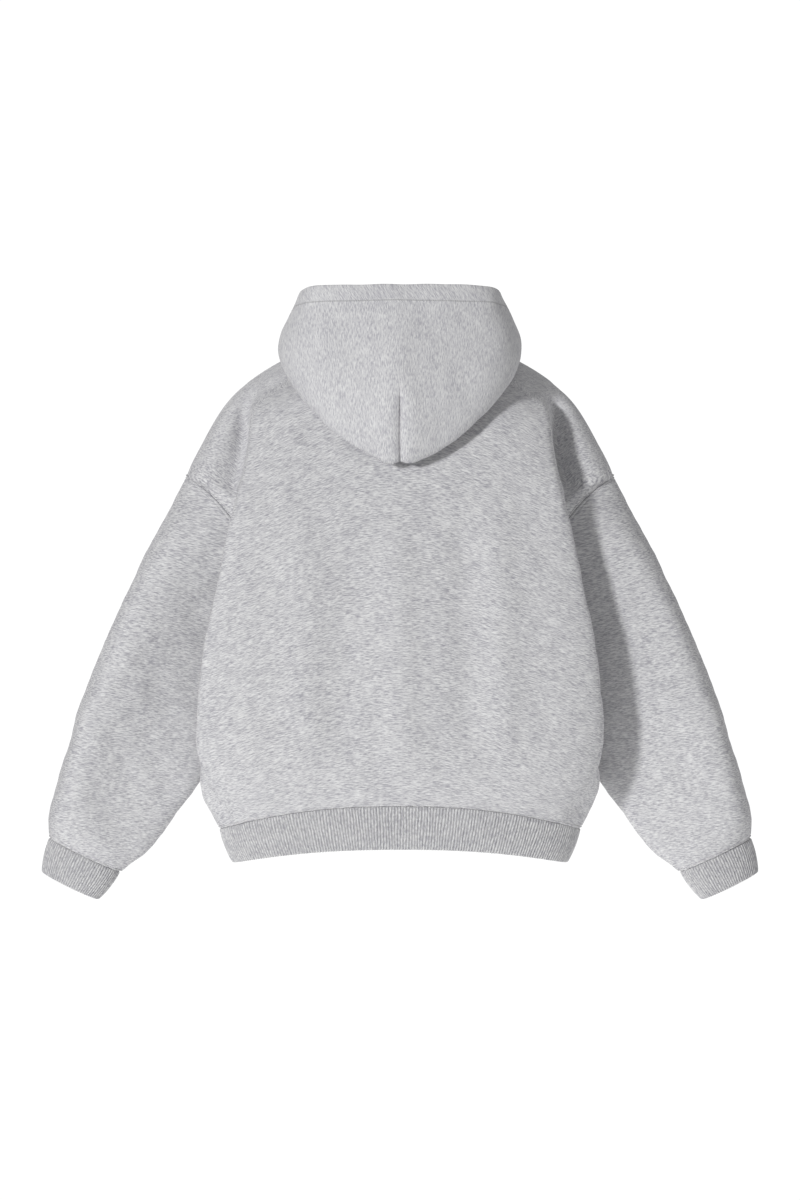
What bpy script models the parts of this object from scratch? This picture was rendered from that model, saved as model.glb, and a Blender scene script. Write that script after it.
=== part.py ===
"""Oversized fleece hoodie, filled out as it hangs on a wearer, with nobody in it.

Metres, +Z up. The origin is the middle of the neck base, between the two points
where the shoulder seams meet the neckline. The front looks along -Y and the
wearer's right side is at -X. Every cloth piece is one closed wall.
"""
import math

import bmesh
import bpy
import numpy as np

NAME = "fleece_hoodie"

# Cloth
FLEECE = 0.0030          # wall of the brushed fleece
FACE_HEM = 0.0048        # the hood's turned face hem is two layers
RIB = 0.0030             # wall of the rib knit, between its ribs
SEAM_GAP = 0.0004        # between two pieces at a seam
RIB_RELIEF = 0.0005      # a rib stands this far out, a groove this far in

# Neckline: half width at the shoulder seams, depth behind and in front, drops
NECK_HALF_WIDTH = 0.091
NECK_BACK = 0.068
NECK_FRONT = 0.094
NECK_BACK_DROP = 0.020
NECK_FRONT_DROP = 0.085
NECK_FACING_OUT = 0.86    # the cloth's facing at the neck seam: so much outward
NECK_FACING_UP = 0.50     # and so much up
SHOULDER_LINE_Y = -0.012  # the shoulder seam lies a little forward of the ridge

# Hem band, a ring that is higher at the centre back and front than at the sides
HEM_SQUARENESS = 0.86
# ring, half width, depth behind, depth in front, mean height, rise at the centres
HEM_SEAM = (0.252, 0.104, 0.101, -0.6680, 0.0180)
HEM_EDGE = (0.235, 0.088, 0.086, -0.7205, 0.0115)
HEM_RIBS = 216

# Cuffs
CUFF_RIBS = 56
CUFF_DEPTH_EDGE = 0.031   # half its depth at the free edge
# Outer and inner corner of the cuff's free edge, seen from behind: x and z of each
CUFF_EDGE = (0.5051, -0.7486, 0.4248, -0.7881)

# The sleeve, a row for each section from the armhole to the cuff seam. A section
# joins the outer point to the inner one, bulges back and front from the depth
# `y`, and is bowed towards the body at the armhole. Its lean is how far the fullest
# part lies towards the outer side.
LEAN_SHIFT = 0.6          # share of the half width by which a lean of 1 moves it
# outer_x, outer_z, inner_x, inner_z, y, back, front, bow, lean
SLEEVE_SECTIONS = (
    (0.2990, -0.1930, 0.1960, -0.3850, -0.012, 0.062, 0.066, 0.030, 0.00),
    (0.3250, -0.2420, 0.2100, -0.4190, -0.016, 0.066, 0.070, 0.020, 0.30),
    (0.3545, -0.2960, 0.2210, -0.4560, -0.020, 0.068, 0.073, 0.010, 0.50),
    (0.3835, -0.3580, 0.2330, -0.5000, -0.024, 0.068, 0.074, 0.004, 0.60),
    (0.4115, -0.4210, 0.2470, -0.5450, -0.027, 0.066, 0.072, 0.000, 0.65),
    (0.4350, -0.4800, 0.2640, -0.5900, -0.030, 0.065, 0.070, 0.000, 0.65),
    (0.4560, -0.5360, 0.2855, -0.6290, -0.032, 0.064, 0.068, 0.000, 0.65),
    (0.4740, -0.5940, 0.3110, -0.6630, -0.034, 0.062, 0.065, 0.000, 0.60),
    (0.4890, -0.6450, 0.3400, -0.7030, -0.036, 0.060, 0.062, 0.000, 0.50),
    (0.4955, -0.6810, 0.3650, -0.7290, -0.037, 0.052, 0.053, 0.000, 0.30),
    (0.4938, -0.7021, 0.3952, -0.7500, -0.038, 0.037, 0.037, 0.000, 0.00),
)

# Seams of the body at +X, from the hem up: x, y, z
SIDE_SEAM = (
    (0.2520, 0.000, -0.6860),
    (0.2660, 0.000, -0.6580),
    (0.2660, -0.006, -0.6200),
    (0.2380, -0.014, -0.5650),
    (0.2140, -0.018, -0.5000),
    (0.2010, -0.015, -0.4400),
)
ARMHOLE_ANGLES = (180, 135, 90, 45, 0)   # from the underarm up to the shoulder
SHOULDER_SEAM = (
    (0.2710, -0.012, -0.1360),
    (0.2280, -0.012, -0.0750),
    (0.1560, -0.012, -0.0270),
)

# The body, a row for each section from the hem to the neck, for the half at +X.
# The crest is the fold beside the sleeve, the valley lies between the crest and
# the sleeve, and the cap is the dropped shoulder outside it.
# centre_y, centre_z, crest_x, crest_y, valley_x, valley_y, cap_x, cap_y
BACK_SECTIONS = (
    (0.1040, -0.6500, 0.2180, 0.066, 0.2440, 0.032, 0.2510, 0.016),
    (0.1180, -0.6320, 0.2400, 0.076, 0.2630, 0.034, 0.2680, 0.017),
    (0.1280, -0.5980, 0.2650, 0.084, 0.2770, 0.042, 0.2740, 0.018),
    (0.1330, -0.5480, 0.2780, 0.094, 0.2640, 0.030, 0.2480, 0.006),
    (0.1360, -0.4900, 0.2750, 0.102, 0.2390, 0.034, 0.2230, 0.006),
    (0.1380, -0.4350, 0.2690, 0.108, 0.2180, 0.040, 0.2060, 0.014),
    (0.1390, -0.3950, 0.2600, 0.113, 0.2080, 0.044, 0.1990, 0.020),
    (0.1390, -0.3400, 0.2490, 0.116, 0.2020, 0.058, 0.1970, 0.045),
    (0.1370, -0.2880, 0.2365, 0.118, 0.2080, 0.062, 0.2095, 0.056),
    (0.1330, -0.2450, 0.2220, 0.117, 0.2230, 0.048, 0.2450, 0.048),
    (0.1280, -0.2070, 0.2130, 0.111, 0.2310, 0.033, 0.2710, 0.040),
    (0.1210, -0.1620, 0.2030, 0.098, 0.2200, 0.025, 0.2500, 0.032),
    (0.1120, -0.1180, 0.1940, 0.073, 0.2090, 0.026, 0.2220, 0.016),
    (0.0960, -0.0700, 0.1280, 0.052, 0.1440, 0.030, 0.1530, 0.008),
)
FRONT_SECTIONS = (
    (-0.1010, -0.6500, 0.2180, -0.062, 0.2440, -0.034, 0.2510, -0.016),
    (-0.1150, -0.6320, 0.2400, -0.070, 0.2620, -0.036, 0.2670, -0.018),
    (-0.1250, -0.5980, 0.2540, -0.078, 0.2640, -0.048, 0.2690, -0.028),
    (-0.1310, -0.5480, 0.2580, -0.096, 0.2480, -0.060, 0.2400, -0.036),
    (-0.1350, -0.4900, 0.2500, -0.108, 0.2290, -0.066, 0.2180, -0.040),
    (-0.1370, -0.4350, 0.2430, -0.112, 0.2140, -0.068, 0.2030, -0.038),
    (-0.1370, -0.3950, 0.2360, -0.115, 0.2080, -0.072, 0.1990, -0.042),
    (-0.1360, -0.3450, 0.2260, -0.117, 0.2000, -0.090, 0.1965, -0.074),
    (-0.1330, -0.2980, 0.2180, -0.116, 0.2060, -0.097, 0.2100, -0.087),
    (-0.1290, -0.2600, 0.2100, -0.114, 0.2260, -0.094, 0.2480, -0.078),
    (-0.1240, -0.2300, 0.2030, -0.111, 0.2340, -0.088, 0.2720, -0.064),
    (-0.1200, -0.1930, 0.1880, -0.107, 0.2190, -0.081, 0.2490, -0.054),
    (-0.1150, -0.1560, 0.1640, -0.097, 0.1930, -0.070, 0.2160, -0.041),
    (-0.1060, -0.1200, 0.1180, -0.081, 0.1370, -0.056, 0.1490, -0.034),
)
# Soft folds down the panels, a row for each, as seen from behind. A ridge stands out
# and a trough, with a height below zero, lies in.
# top_x, top_z, foot_x, foot_z, half_width, height
BACK_FOLDS = (
    (0.006, -0.250, -0.004, -0.620, 0.026, 0.0070),
    (-0.080, -0.230, -0.094, -0.600, 0.024, -0.0060),
    (-0.128, -0.210, -0.146, -0.610, 0.022, 0.0065),
    (0.066, -0.260, 0.080, -0.600, 0.028, -0.0050),
    (0.136, -0.220, 0.126, -0.620, 0.026, 0.0050),
)
FRONT_FOLDS = (
    (-0.012, -0.260, 0.004, -0.610, 0.030, -0.0040),
    (0.078, -0.240, 0.092, -0.620, 0.026, 0.0045),
    (-0.094, -0.220, -0.104, -0.600, 0.028, 0.0040),
    (-0.150, -0.280, -0.166, -0.600, 0.024, -0.0035),
    (0.150, -0.250, 0.160, -0.610, 0.024, -0.0035),
)
# A section's knots: centre, mid, blade, crest, lip, valley, cap and edge.
# Share of the way, in height, from the centre of a section to its edge
COLUMN_RISE = (0.0, 0.03, 0.12, 0.38, 0.52, 0.70, 0.88, 1.0)
# Mid and blade: share of the way from the centre to the crest, out and in depth
MID_OUT, MID_DEPTH = 0.42, 0.07
BLADE_OUT, BLADE_DEPTH = 0.80, 0.28
# Lip: share of the way from the crest to the valley, in and in depth
LIP_IN, LIP_DEPTH = 0.42, 0.55

# The hood, a row for each station round the neckline from the centre back to the
# centre front. It stands up from the neckline, rolls outwards, goes down to the
# fold at the bottom of the bag, and comes up its outer wall to the face edge.
# angle, stand, fold_x, fold_y, fold_z, edge_x, edge_y, edge_z, bulge
HOOD_STATIONS = (
    (0, 0.034, 0.0000, 0.152, -0.1830, 0.0000, 0.153, 0.0590, 0.032),
    (22, 0.034, 0.0550, 0.145, -0.1630, 0.0620, 0.149, 0.0590, 0.024),
    (44, 0.034, 0.1000, 0.134, -0.1290, 0.1090, 0.136, 0.0590, 0.022),
    (64, 0.033, 0.1340, 0.110, -0.0900, 0.1325, 0.110, 0.0570, 0.022),
    (84, 0.031, 0.1540, 0.066, -0.0480, 0.1400, 0.064, 0.0510, 0.020),
    (106, 0.023, 0.1460, 0.004, -0.0140, 0.1330, 0.006, 0.0350, 0.012),
    (130, 0.015, 0.1180, -0.056, -0.0250, 0.1100, -0.054, 0.0070, 0.007),
    (155, 0.010, 0.0740, -0.104, -0.0520, 0.0720, -0.106, -0.0290, 0.003),
    (178, 0.006, 0.0080, -0.110, -0.0780, 0.0100, -0.116, -0.0600, 0.001),
)

# The hood's knots: shares of the stand, out and up, then of the way from the seam
# down to the fold with a lift, then of the way from the fold to the edge with a bulge
HOOD_ROLL = ((0.00, 0.00), (0.15, 0.75), (0.60, 1.00))
HOOD_DOWN = ((0.42, 0.55), (0.78, 0.12), (1.00, 0.00))
HOOD_WALL = ((0.16, 0.80), (0.45, 1.00), (0.78, 0.45), (1.00, 0.00))

# How finely the walls are cut: steps between each two rows of a table
BODY_ROW_STEPS = (2, 2, 2, 1, 1, 2, 3, 3, 3, 3, 2, 2, 2, 2)
BODY_COLUMN_STEPS = (3, 3, 3, 3, 2, 2, 2)
SLEEVE_ROW_STEPS = (2, 1, 1, 1, 1, 1, 1, 2, 2, 2)
SLEEVE_COLUMNS = 24
HOOD_COLUMN_STEPS = (3, 3, 3, 3, 3, 3, 3, 2)
HOOD_ROW_STEPS = (1, 1, 1, 2, 2, 2, 2, 1, 2)
FACE_HEM_ROWS = 2
RIB_EDGES_A_FLAT = 8
SNAP_REACH = 3            # points from a seam over which a grid is eased onto it
RING_CUTS = 1440          # pieces in which a ring's length is measured
ANGLE_STEP = 0.002        # radians, for a ring's slope

# Colour of each cloth, and how rough it is
HEATHER = (0.52, 0.52, 0.53, 1.0)
RIB_HEATHER = (0.46, 0.46, 0.47, 1.0)
CLOTH_ROUGHNESS = 0.92


def spline(knots, places):
    """Natural cubic spline through the rows of knots, read at places counted in rows."""
    knots = np.asarray(knots, float)
    places = np.asarray(places, float)
    count = len(knots)
    flat = knots.reshape(count, -1)
    matrix = np.eye(count)
    pull = np.zeros_like(flat)
    for row in range(1, count - 1):
        matrix[row, row - 1:row + 2] = (1.0, 4.0, 1.0)
        pull[row] = 6.0 * (flat[row - 1] - 2.0 * flat[row] + flat[row + 1])
    bend = np.linalg.solve(matrix, pull)
    start = np.clip(np.floor(places).astype(int), 0, count - 2)
    ahead = (places - start)[:, None]
    behind = 1.0 - ahead
    value = behind * flat[start] + ahead * flat[start + 1]
    value += (behind ** 3 - behind) * bend[start] / 6.0
    value += (ahead ** 3 - ahead) * bend[start + 1] / 6.0
    return value.reshape((len(places),) + knots.shape[1:])


def surface(net, row_places, column_places):
    """Grid of points on the smooth surface through a net of knots."""
    rows = spline(net, row_places)
    grid = spline(rows.transpose(1, 0, 2), column_places)
    return grid.transpose(1, 0, 2)


def unit(vectors):
    """The same vectors, one long."""
    length = np.linalg.norm(vectors, axis=-1, keepdims=True)
    return vectors / np.maximum(length, 1e-12)


def mirrored(points):
    """The same points on the other side of the body."""
    return points * (-1.0, 1.0, 1.0)


def steps(counts):
    """Places in a table's rows: the given number of even steps between each two."""
    places = [0.0]
    for row, count in enumerate(counts):
        places += [row + (step + 1) / count for step in range(count)]
    return np.array(places)


def normals(grid, closed=False):
    """Normals of a grid, to its columns' direction crossed with its rows'."""
    up = np.gradient(grid, axis=0)
    across = np.gradient(grid, axis=1)
    if closed:
        across = np.roll(grid, -1, axis=1) - np.roll(grid, 1, axis=1)
    return unit(np.cross(across, up))


def neckline(angle):
    """The neck seam at an angle from the centre back, towards +X, in radians."""
    back = math.cos(angle) > 0.0
    depth = NECK_BACK if back else NECK_FRONT
    drop = NECK_BACK_DROP if back else NECK_FRONT_DROP
    reach = depth - SHOULDER_LINE_Y if back else depth + SHOULDER_LINE_Y
    y = SHOULDER_LINE_Y + reach * math.cos(angle)
    return (NECK_HALF_WIDTH * math.sin(angle), y, -drop * math.cos(angle) ** 2)


def hem_ring(ring, angle):
    """A ring of the hem band at an angle from the centre back, towards +X."""
    half_width, back, front, height, rise = ring
    sine, cosine = math.sin(angle), math.cos(angle)
    depth = back if cosine > 0.0 else front
    x = half_width * math.copysign(abs(sine) ** HEM_SQUARENESS, sine)
    y = depth * math.copysign(abs(cosine) ** HEM_SQUARENESS, cosine)
    return (x, y, height + rise * math.cos(2.0 * angle))


def sleeve_grid(sections, angles):
    """Points of the sleeve at +X: a row for each section, a column for each angle.

    The angle starts on the outer side and goes round by the back.
    """
    grid = np.zeros((len(sections), len(angles), 3))
    for row, section in enumerate(sections):
        outer_x, outer_z, inner_x, inner_z, y, back, front, bow, lean = section
        middle = np.array(((outer_x + inner_x) / 2.0, y, (outer_z + inner_z) / 2.0))
        half = np.array(((outer_x - inner_x) / 2.0, 0.0, (outer_z - inner_z) / 2.0))
        away = unit(np.array((half[2], 0.0, -half[0])))
        for column, angle in enumerate(angles):
            sine, cosine = math.sin(angle), math.cos(angle)
            depth = back if sine > 0.0 else front
            point = middle + half * (cosine + LEAN_SHIFT * lean * sine ** 2)
            point -= away * bow * sine ** 2
            point[1] += depth * sine * (1.0 + lean * cosine * abs(sine))
            grid[row, column] = point
    return grid


def body_edge(side):
    """Knots of the body's edge at +X, hem to neck. The side is 1 behind, -1 in front."""
    angles = [side * math.radians(angle) for angle in ARMHOLE_ANGLES]
    armhole = sleeve_grid(SLEEVE_SECTIONS[:1], angles)[0]
    neck = neckline(math.pi / 2.0)
    return np.array(list(SIDE_SEAM) + [tuple(point) for point in armhole]
                    + list(SHOULDER_SEAM) + [neck])


def body_columns(sections, side):
    """Knots of the half at +X: a row for each section, columns from centre to edge."""
    edge = body_edge(side)
    rows = []
    for row, section in enumerate(sections):
        centre_y, centre_z, crest_x, crest_y, valley_x, valley_y, cap_x, cap_y = section
        slope = crest_y - centre_y
        out = (0.0, MID_OUT * crest_x, BLADE_OUT * crest_x, crest_x,
               crest_x + LIP_IN * (valley_x - crest_x), valley_x, cap_x, edge[row][0])
        depth = (centre_y, centre_y + MID_DEPTH * slope, centre_y + BLADE_DEPTH * slope, crest_y,
                 crest_y + LIP_DEPTH * (valley_y - crest_y), valley_y, cap_y, edge[row][1])
        rise = [centre_z + share * (edge[row][2] - centre_z) for share in COLUMN_RISE]
        rows.append(list(zip(out, depth, rise)))
    start = 0.0 if side > 0 else math.pi
    quarter = side * math.pi / 2.0 / (len(COLUMN_RISE) - 1)
    rows.append([neckline(start + column * quarter) for column in range(len(COLUMN_RISE))])
    return np.array(rows)


def body_net(side):
    """Knots over a whole panel, with one column past each edge to set its slope."""
    own = body_columns(BACK_SECTIONS if side > 0 else FRONT_SECTIONS, side)
    other = body_columns(FRONT_SECTIONS if side > 0 else BACK_SECTIONS, -side)
    beyond = other[:, -2].copy()
    first = len(SIDE_SEAM)
    last = first + len(ARMHOLE_ANGLES) - 1
    for row in range(first + 1, last):
        beyond[row] = 2.0 * own[row, -1] - own[row, -2]
    half = np.concatenate([own, beyond[:, None]], axis=1)
    return np.concatenate([mirrored(half[:, :0:-1]), half], axis=1)


def snap_edge(grid, target):
    """Move the first column of a grid onto its seam, and ease its neighbours along."""
    shift = target - grid[:, 0]
    for column in range(SNAP_REACH):
        grid[:, column] += shift * (1.0 - column / SNAP_REACH) ** 2


def edge_point(side, place):
    """A point of the body's edge at +X: side seam, armhole or shoulder seam."""
    first = len(SIDE_SEAM)
    last = first + len(ARMHOLE_ANGLES) - 1
    knots = body_edge(side)
    if place < first:
        return spline(knots[:first + 1], [place])[0]
    if place > last:
        return spline(knots[last:], [place - last])[0]
    angle = side * math.pi * (last - place) / (last - first)
    return sleeve_grid(SLEEVE_SECTIONS[:1], [angle])[0, 0]


def body_grid(side, row_places, half_columns):
    """A panel's outer points, with its neck, hem and armholes on their seams."""
    net = body_net(side)
    middle = (net.shape[1] - 1) // 2
    columns = np.concatenate([middle - half_columns[:0:-1], middle + half_columns])
    grid = surface(net, row_places, columns)
    seam = np.array([edge_point(side, place) for place in row_places])
    snap_edge(grid[:, ::-1], seam)
    snap_edge(grid, mirrored(seam))
    turned = grid.transpose(1, 0, 2)
    spread = (columns - middle) / (len(COLUMN_RISE) - 1)
    start = 0.0 if side > 0 else math.pi
    angles = [start + side * math.pi / 2.0 * share for share in spread]
    snap_edge(turned[:, ::-1], np.array([neckline(angle) for angle in angles]))
    hem = [hem_ring(HEM_SEAM, hem_angle(side, point)) for point in turned[:, 0]]
    snap_edge(turned, np.array(hem))
    return grid


def hem_angle(side, point):
    """The hem ring's angle at which it has a point's x."""
    share = min(1.0, abs(point[0]) / HEM_SEAM[0]) ** (1.0 / HEM_SQUARENESS)
    angle = math.asin(share)
    if side < 0:
        angle = math.pi - angle
    return math.copysign(angle, point[0]) if point[0] else angle


def hood_knots(station):
    """Knots of one station of the hood, from the neck seam to the face edge."""
    angle, stand, fold_x, fold_y, fold_z, edge_x, edge_y, edge_z, bulge = station
    angle = math.radians(angle)
    seam = np.array(neckline(angle))
    fold = np.array((fold_x, fold_y, fold_z))
    edge = np.array((edge_x, edge_y, edge_z))
    out = np.array((math.sin(angle), math.cos(angle), 0.0))
    away = unit(fold * (1.0, 1.0, 0.0) - (0.0, SHOULDER_LINE_Y, 0.0))
    up = np.array((0.0, 0.0, 1.0))
    knots = [seam + stand * (share_out * out + share_up * up) for share_out, share_up in HOOD_ROLL]
    knots += [seam + share * (fold - seam) + lift * stand * up for share, lift in HOOD_DOWN]
    knots += [fold + share * (edge - fold) + out_by * bulge * away for share, out_by in HOOD_WALL]
    return knots


def hood_grid(station_places, row_places):
    """The hood's outer points: rows from the neck seam to the face edge."""
    half = np.array([hood_knots(station) for station in HOOD_STATIONS])
    net = np.concatenate([mirrored(half[:0:-1]), half]).transpose(1, 0, 2)
    middle = len(HOOD_STATIONS) - 1
    columns = np.concatenate([middle - station_places[:0:-1], middle + station_places])
    grid = surface(net, row_places, columns)
    angles = spline([station[:1] for station in HOOD_STATIONS], station_places)[:, 0]
    seam = np.array([neckline(math.radians(angle)) for angle in angles])
    seam = np.concatenate([mirrored(seam[:0:-1]), seam])
    snap_edge(grid.transpose(1, 0, 2), seam)
    return grid


def fold_depths(grid, folds):
    """How far the folds move each point of a grid out along its facing."""
    depth = np.zeros(grid.shape[:2])
    for top_x, top_z, foot_x, foot_z, half_width, height in folds:
        along = (top_z - grid[..., 2]) / (top_z - foot_z)
        line = top_x + along * (foot_x - top_x)
        across = np.exp(-((grid[..., 0] - line) / half_width) ** 2)
        ends = np.clip(6.0 * along * (1.0 - along), 0.0, 1.0)
        depth += height * across * ends
    return depth


def retreat(grid, facing, closed=False):
    """Draw the first row of a grid back from its seam, inside the cloth."""
    line = grid[0]
    if closed:
        along = unit(np.roll(line, -1, axis=0) - np.roll(line, 1, axis=0))
    else:
        along = unit(np.gradient(line, axis=0))
    inward = grid[1] - line
    inward = inward - along * np.sum(inward * along, axis=1, keepdims=True)
    inward = inward - facing[0] * np.sum(inward * facing[0], axis=1, keepdims=True)
    grid[0] = line + unit(inward) * SEAM_GAP / 2.0


def new_object(name, mesh_data, material):
    """Link a mesh of points and faces as a named object, its faces turned outward."""
    points, faces = mesh_data
    mesh = bpy.data.meshes.new(name)
    mesh.from_pydata([tuple(point) for point in points], [], faces)
    body = bmesh.new()
    body.from_mesh(mesh)
    bmesh.ops.recalc_face_normals(body, faces=body.faces)
    body.to_mesh(mesh)
    body.free()
    mesh.shade_smooth()
    mesh.materials.append(material)
    made = bpy.data.objects.new(name, mesh)
    bpy.data.collections[NAME].objects.link(made)
    return made


def cloth_wall(outer, facing, thickness, closed=False):
    """Points and faces of one closed wall: the outer grid, and the same grid inside it."""
    rows, columns = outer.shape[:2]
    inner = outer - facing * np.reshape(thickness, (-1, 1, 1))
    points = np.concatenate([outer.reshape(-1, 3), inner.reshape(-1, 3)])
    inside = rows * columns
    spans = columns if closed else columns - 1

    def at(row, column):
        return row * columns + column % columns

    faces = []
    for row in range(rows - 1):
        for column in range(spans):
            quad = (at(row, column), at(row, column + 1), at(row + 1, column + 1), at(row + 1, column))
            faces.append(quad)
            faces.append(tuple(inside + corner for corner in reversed(quad)))
    for row, turn in ((0, 1), (rows - 1, -1)):
        for column in range(spans):
            rim = (at(row, column), inside + at(row, column),
                   inside + at(row, column + 1), at(row, column + 1))
            faces.append(rim[::turn])
    if not closed:
        for column, turn in ((0, -1), (columns - 1, 1)):
            for row in range(rows - 1):
                rim = (at(row, column), inside + at(row, column),
                       inside + at(row + 1, column), at(row + 1, column))
                faces.append(rim[::turn])
    return points, faces


def even_angles(ring, count):
    """Angles that part a ring, a function of angle, into equal lengths."""
    fine = np.linspace(0.0, 2.0 * math.pi, RING_CUTS + 1)
    line = np.array([ring(angle) for angle in fine])
    length = np.concatenate([[0.0], np.cumsum(np.linalg.norm(np.diff(line, axis=0), axis=1))])
    return np.interp(np.arange(count) * length[-1] / count, length, fine)


def rib_tube(rings, axis, ribs):
    """A tube between two rings, functions of angle, ribbed outside and plain inside."""
    points = []
    edges = 2 * ribs
    plain = RIB_EDGES_A_FLAT
    flats = edges // plain
    for ring in rings:
        for number, angle in enumerate(even_angles(ring, edges)):
            relief = RIB_RELIEF if number % 2 else -RIB_RELIEF
            points.append(np.array(ring(angle)) + ring_facing(ring, axis, angle) * relief)
    for ring in rings:
        for angle in even_angles(ring, edges)[::plain]:
            points.append(np.array(ring(angle)) - ring_facing(ring, axis, angle) * RIB)
    top, edge, inner_top, inner_edge = 0, edges, 2 * edges, 2 * edges + flats
    faces = []
    for number in range(edges):
        after = (number + 1) % edges
        faces.append((top + number, edge + number, edge + after, top + after))
    for flat in range(flats):
        after = (flat + 1) % flats
        faces.append((inner_top + flat, inner_top + after, inner_edge + after, inner_edge + flat))
        span = [(flat * plain + step) % edges for step in range(plain + 1)]
        faces.append([inner_top + flat] + [top + number for number in span] + [inner_top + after])
        faces.append([inner_edge + after] + [edge + number for number in reversed(span)]
                     + [inner_edge + flat])
    return points, faces


def ring_facing(ring, axis, angle):
    """Direction out of a ring, a function of angle that turns left about its axis."""
    along = np.array(ring(angle + ANGLE_STEP)) - np.array(ring(angle - ANGLE_STEP))
    return unit(np.cross(axis, along))


def neck_facing(angle):
    """Facing of both cloths at the neck seam: outward and half up."""
    out = ring_facing(neckline, (0.0, 0.0, 1.0), angle)
    return unit(out * NECK_FACING_OUT + np.array((0.0, 0.0, NECK_FACING_UP)))


def hem_seam(angle):
    """The seam between the body and the hem band."""
    return hem_ring(HEM_SEAM, angle)


def cuff_axis():
    """Direction down the sleeve, square to the cuff seam."""
    outer_x, outer_z, inner_x, inner_z = SLEEVE_SECTIONS[-1][:4]
    return unit(np.array((outer_z - inner_z, 0.0, inner_x - outer_x)))


def cloth_material(name, colour):
    """A plain matt cloth."""
    material = bpy.data.materials.new(name)
    material.use_nodes = True
    shader = material.node_tree.nodes["Principled BSDF"]
    shader.inputs["Base Color"].default_value = colour
    shader.inputs["Roughness"].default_value = CLOTH_ROUGHNESS
    shader.inputs["Metallic"].default_value = 0.0
    return material


def join_armhole(rows, back_edge, front_edge, sleeve_line):
    """Give the panels' edges and the sleeve's first row one facing at the armhole."""
    half = len(sleeve_line) // 2
    for step, row in enumerate(rows):
        behind, ahead = half - step, (half + step) % len(sleeve_line)
        if step in (0, len(rows) - 1):
            corner = unit(unit(back_edge[row] + front_edge[row]) + sleeve_line[behind])
            back_edge[row] = front_edge[row] = sleeve_line[behind] = corner
        else:
            back_edge[row] = sleeve_line[behind] = unit(back_edge[row] + sleeve_line[behind])
            front_edge[row] = sleeve_line[ahead] = unit(front_edge[row] + sleeve_line[ahead])


def body_and_sleeve_walls():
    """Walls of the two panels and of the sleeve at +X, which share their seams."""
    row_places = steps(BODY_ROW_STEPS)
    half_columns = steps(BODY_COLUMN_STEPS)
    back = body_grid(1, row_places, half_columns)
    front = body_grid(-1, row_places, half_columns)
    back -= normals(back) * fold_depths(back, BACK_FOLDS)[..., None]
    front += normals(front) * fold_depths(front, FRONT_FOLDS)[..., None]
    angles = np.arange(SLEEVE_COLUMNS) * 2.0 * math.pi / SLEEVE_COLUMNS
    sleeve = sleeve_grid(spline(SLEEVE_SECTIONS, steps(SLEEVE_ROW_STEPS)), angles)

    back_facing = -normals(back)
    front_facing = normals(front)
    sleeve_facing = -normals(sleeve, closed=True)
    sleeve_facing[-1] = [ring_facing(cuff_seam, cuff_axis(), angle) for angle in angles]
    first = len(SIDE_SEAM)
    last = first + len(ARMHOLE_ANGLES) - 1
    armhole = [row for row, place in enumerate(row_places) if first <= place <= last]
    back_edge, front_edge = back_facing[:, -1], front_facing[:, -1]
    for row in range(len(row_places)):
        if row not in armhole:
            back_edge[row] = front_edge[row] = unit(back_edge[row] + front_edge[row])
    join_armhole(armhole, back_edge, front_edge, sleeve_facing[0])
    back_facing[:, 0] = mirrored(back_edge)
    front_facing[:, 0] = mirrored(front_edge)

    walls = {}
    quarter = math.pi / 2.0
    share = np.concatenate([-half_columns[:0:-1], half_columns]) / half_columns[-1]
    for name, side, grid, facing in (("back_panel", 1, back, back_facing),
                                     ("front_panel", -1, front, front_facing)):
        start = 0.0 if side > 0 else math.pi
        facing[-1] = [neck_facing(start + side * quarter * part) for part in share]
        up = (0.0, 0.0, 1.0)
        facing[0] = [ring_facing(hem_seam, up, hem_angle(side, point)) for point in grid[0]]
        turned, turned_facing = grid.transpose(1, 0, 2), facing.transpose(1, 0, 2)
        retreat(grid, facing)
        retreat(grid[::-1], facing[::-1])
        retreat(turned, turned_facing)
        retreat(turned[::-1], turned_facing[::-1])
        walls[name] = cloth_wall(grid, facing, FLEECE)
    retreat(sleeve, sleeve_facing, closed=True)
    retreat(sleeve[::-1], sleeve_facing[::-1], closed=True)
    walls["sleeve_left"] = cloth_wall(sleeve, sleeve_facing, FLEECE, closed=True)
    return walls


def cuff_seam(angle):
    """The seam between the sleeve and the cuff at +X."""
    return sleeve_grid(SLEEVE_SECTIONS[-1:], [angle])[0, 0]


def cuff_wall():
    """The cuff at +X."""
    axis = cuff_axis()
    middle_y = SLEEVE_SECTIONS[-1][4]
    section = CUFF_EDGE + (middle_y, CUFF_DEPTH_EDGE, CUFF_DEPTH_EDGE, 0.0, 0.0)

    def top(angle):
        return cuff_seam(angle) + axis * SEAM_GAP / 2.0

    def edge(angle):
        return sleeve_grid([section], [angle])[0, 0]

    return rib_tube((top, edge), axis, CUFF_RIBS)


def hem_wall():
    """The hem band."""
    def top(angle):
        return np.array(hem_seam(angle)) - (0.0, 0.0, SEAM_GAP / 2.0)

    def edge(angle):
        return np.array(hem_ring(HEM_EDGE, angle))

    return rib_tube((top, edge), (0.0, 0.0, 1.0), HEM_RIBS)


def hood_wall():
    """The hood, one cloth with a thicker turned hem round the face."""
    station_places = steps(HOOD_COLUMN_STEPS)
    grid = hood_grid(station_places, steps(HOOD_ROW_STEPS))
    facing = -normals(grid)
    angles = spline([station[:1] for station in HOOD_STATIONS], station_places)[:, 0]
    seam = np.array([neck_facing(math.radians(angle)) for angle in angles])
    facing[0] = np.concatenate([mirrored(seam[:0:-1]), seam])
    retreat(grid, facing)
    thickness = [FLEECE] * (len(grid) - FACE_HEM_ROWS) + [FACE_HEM] * FACE_HEM_ROWS
    return cloth_wall(grid, facing, thickness)


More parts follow.
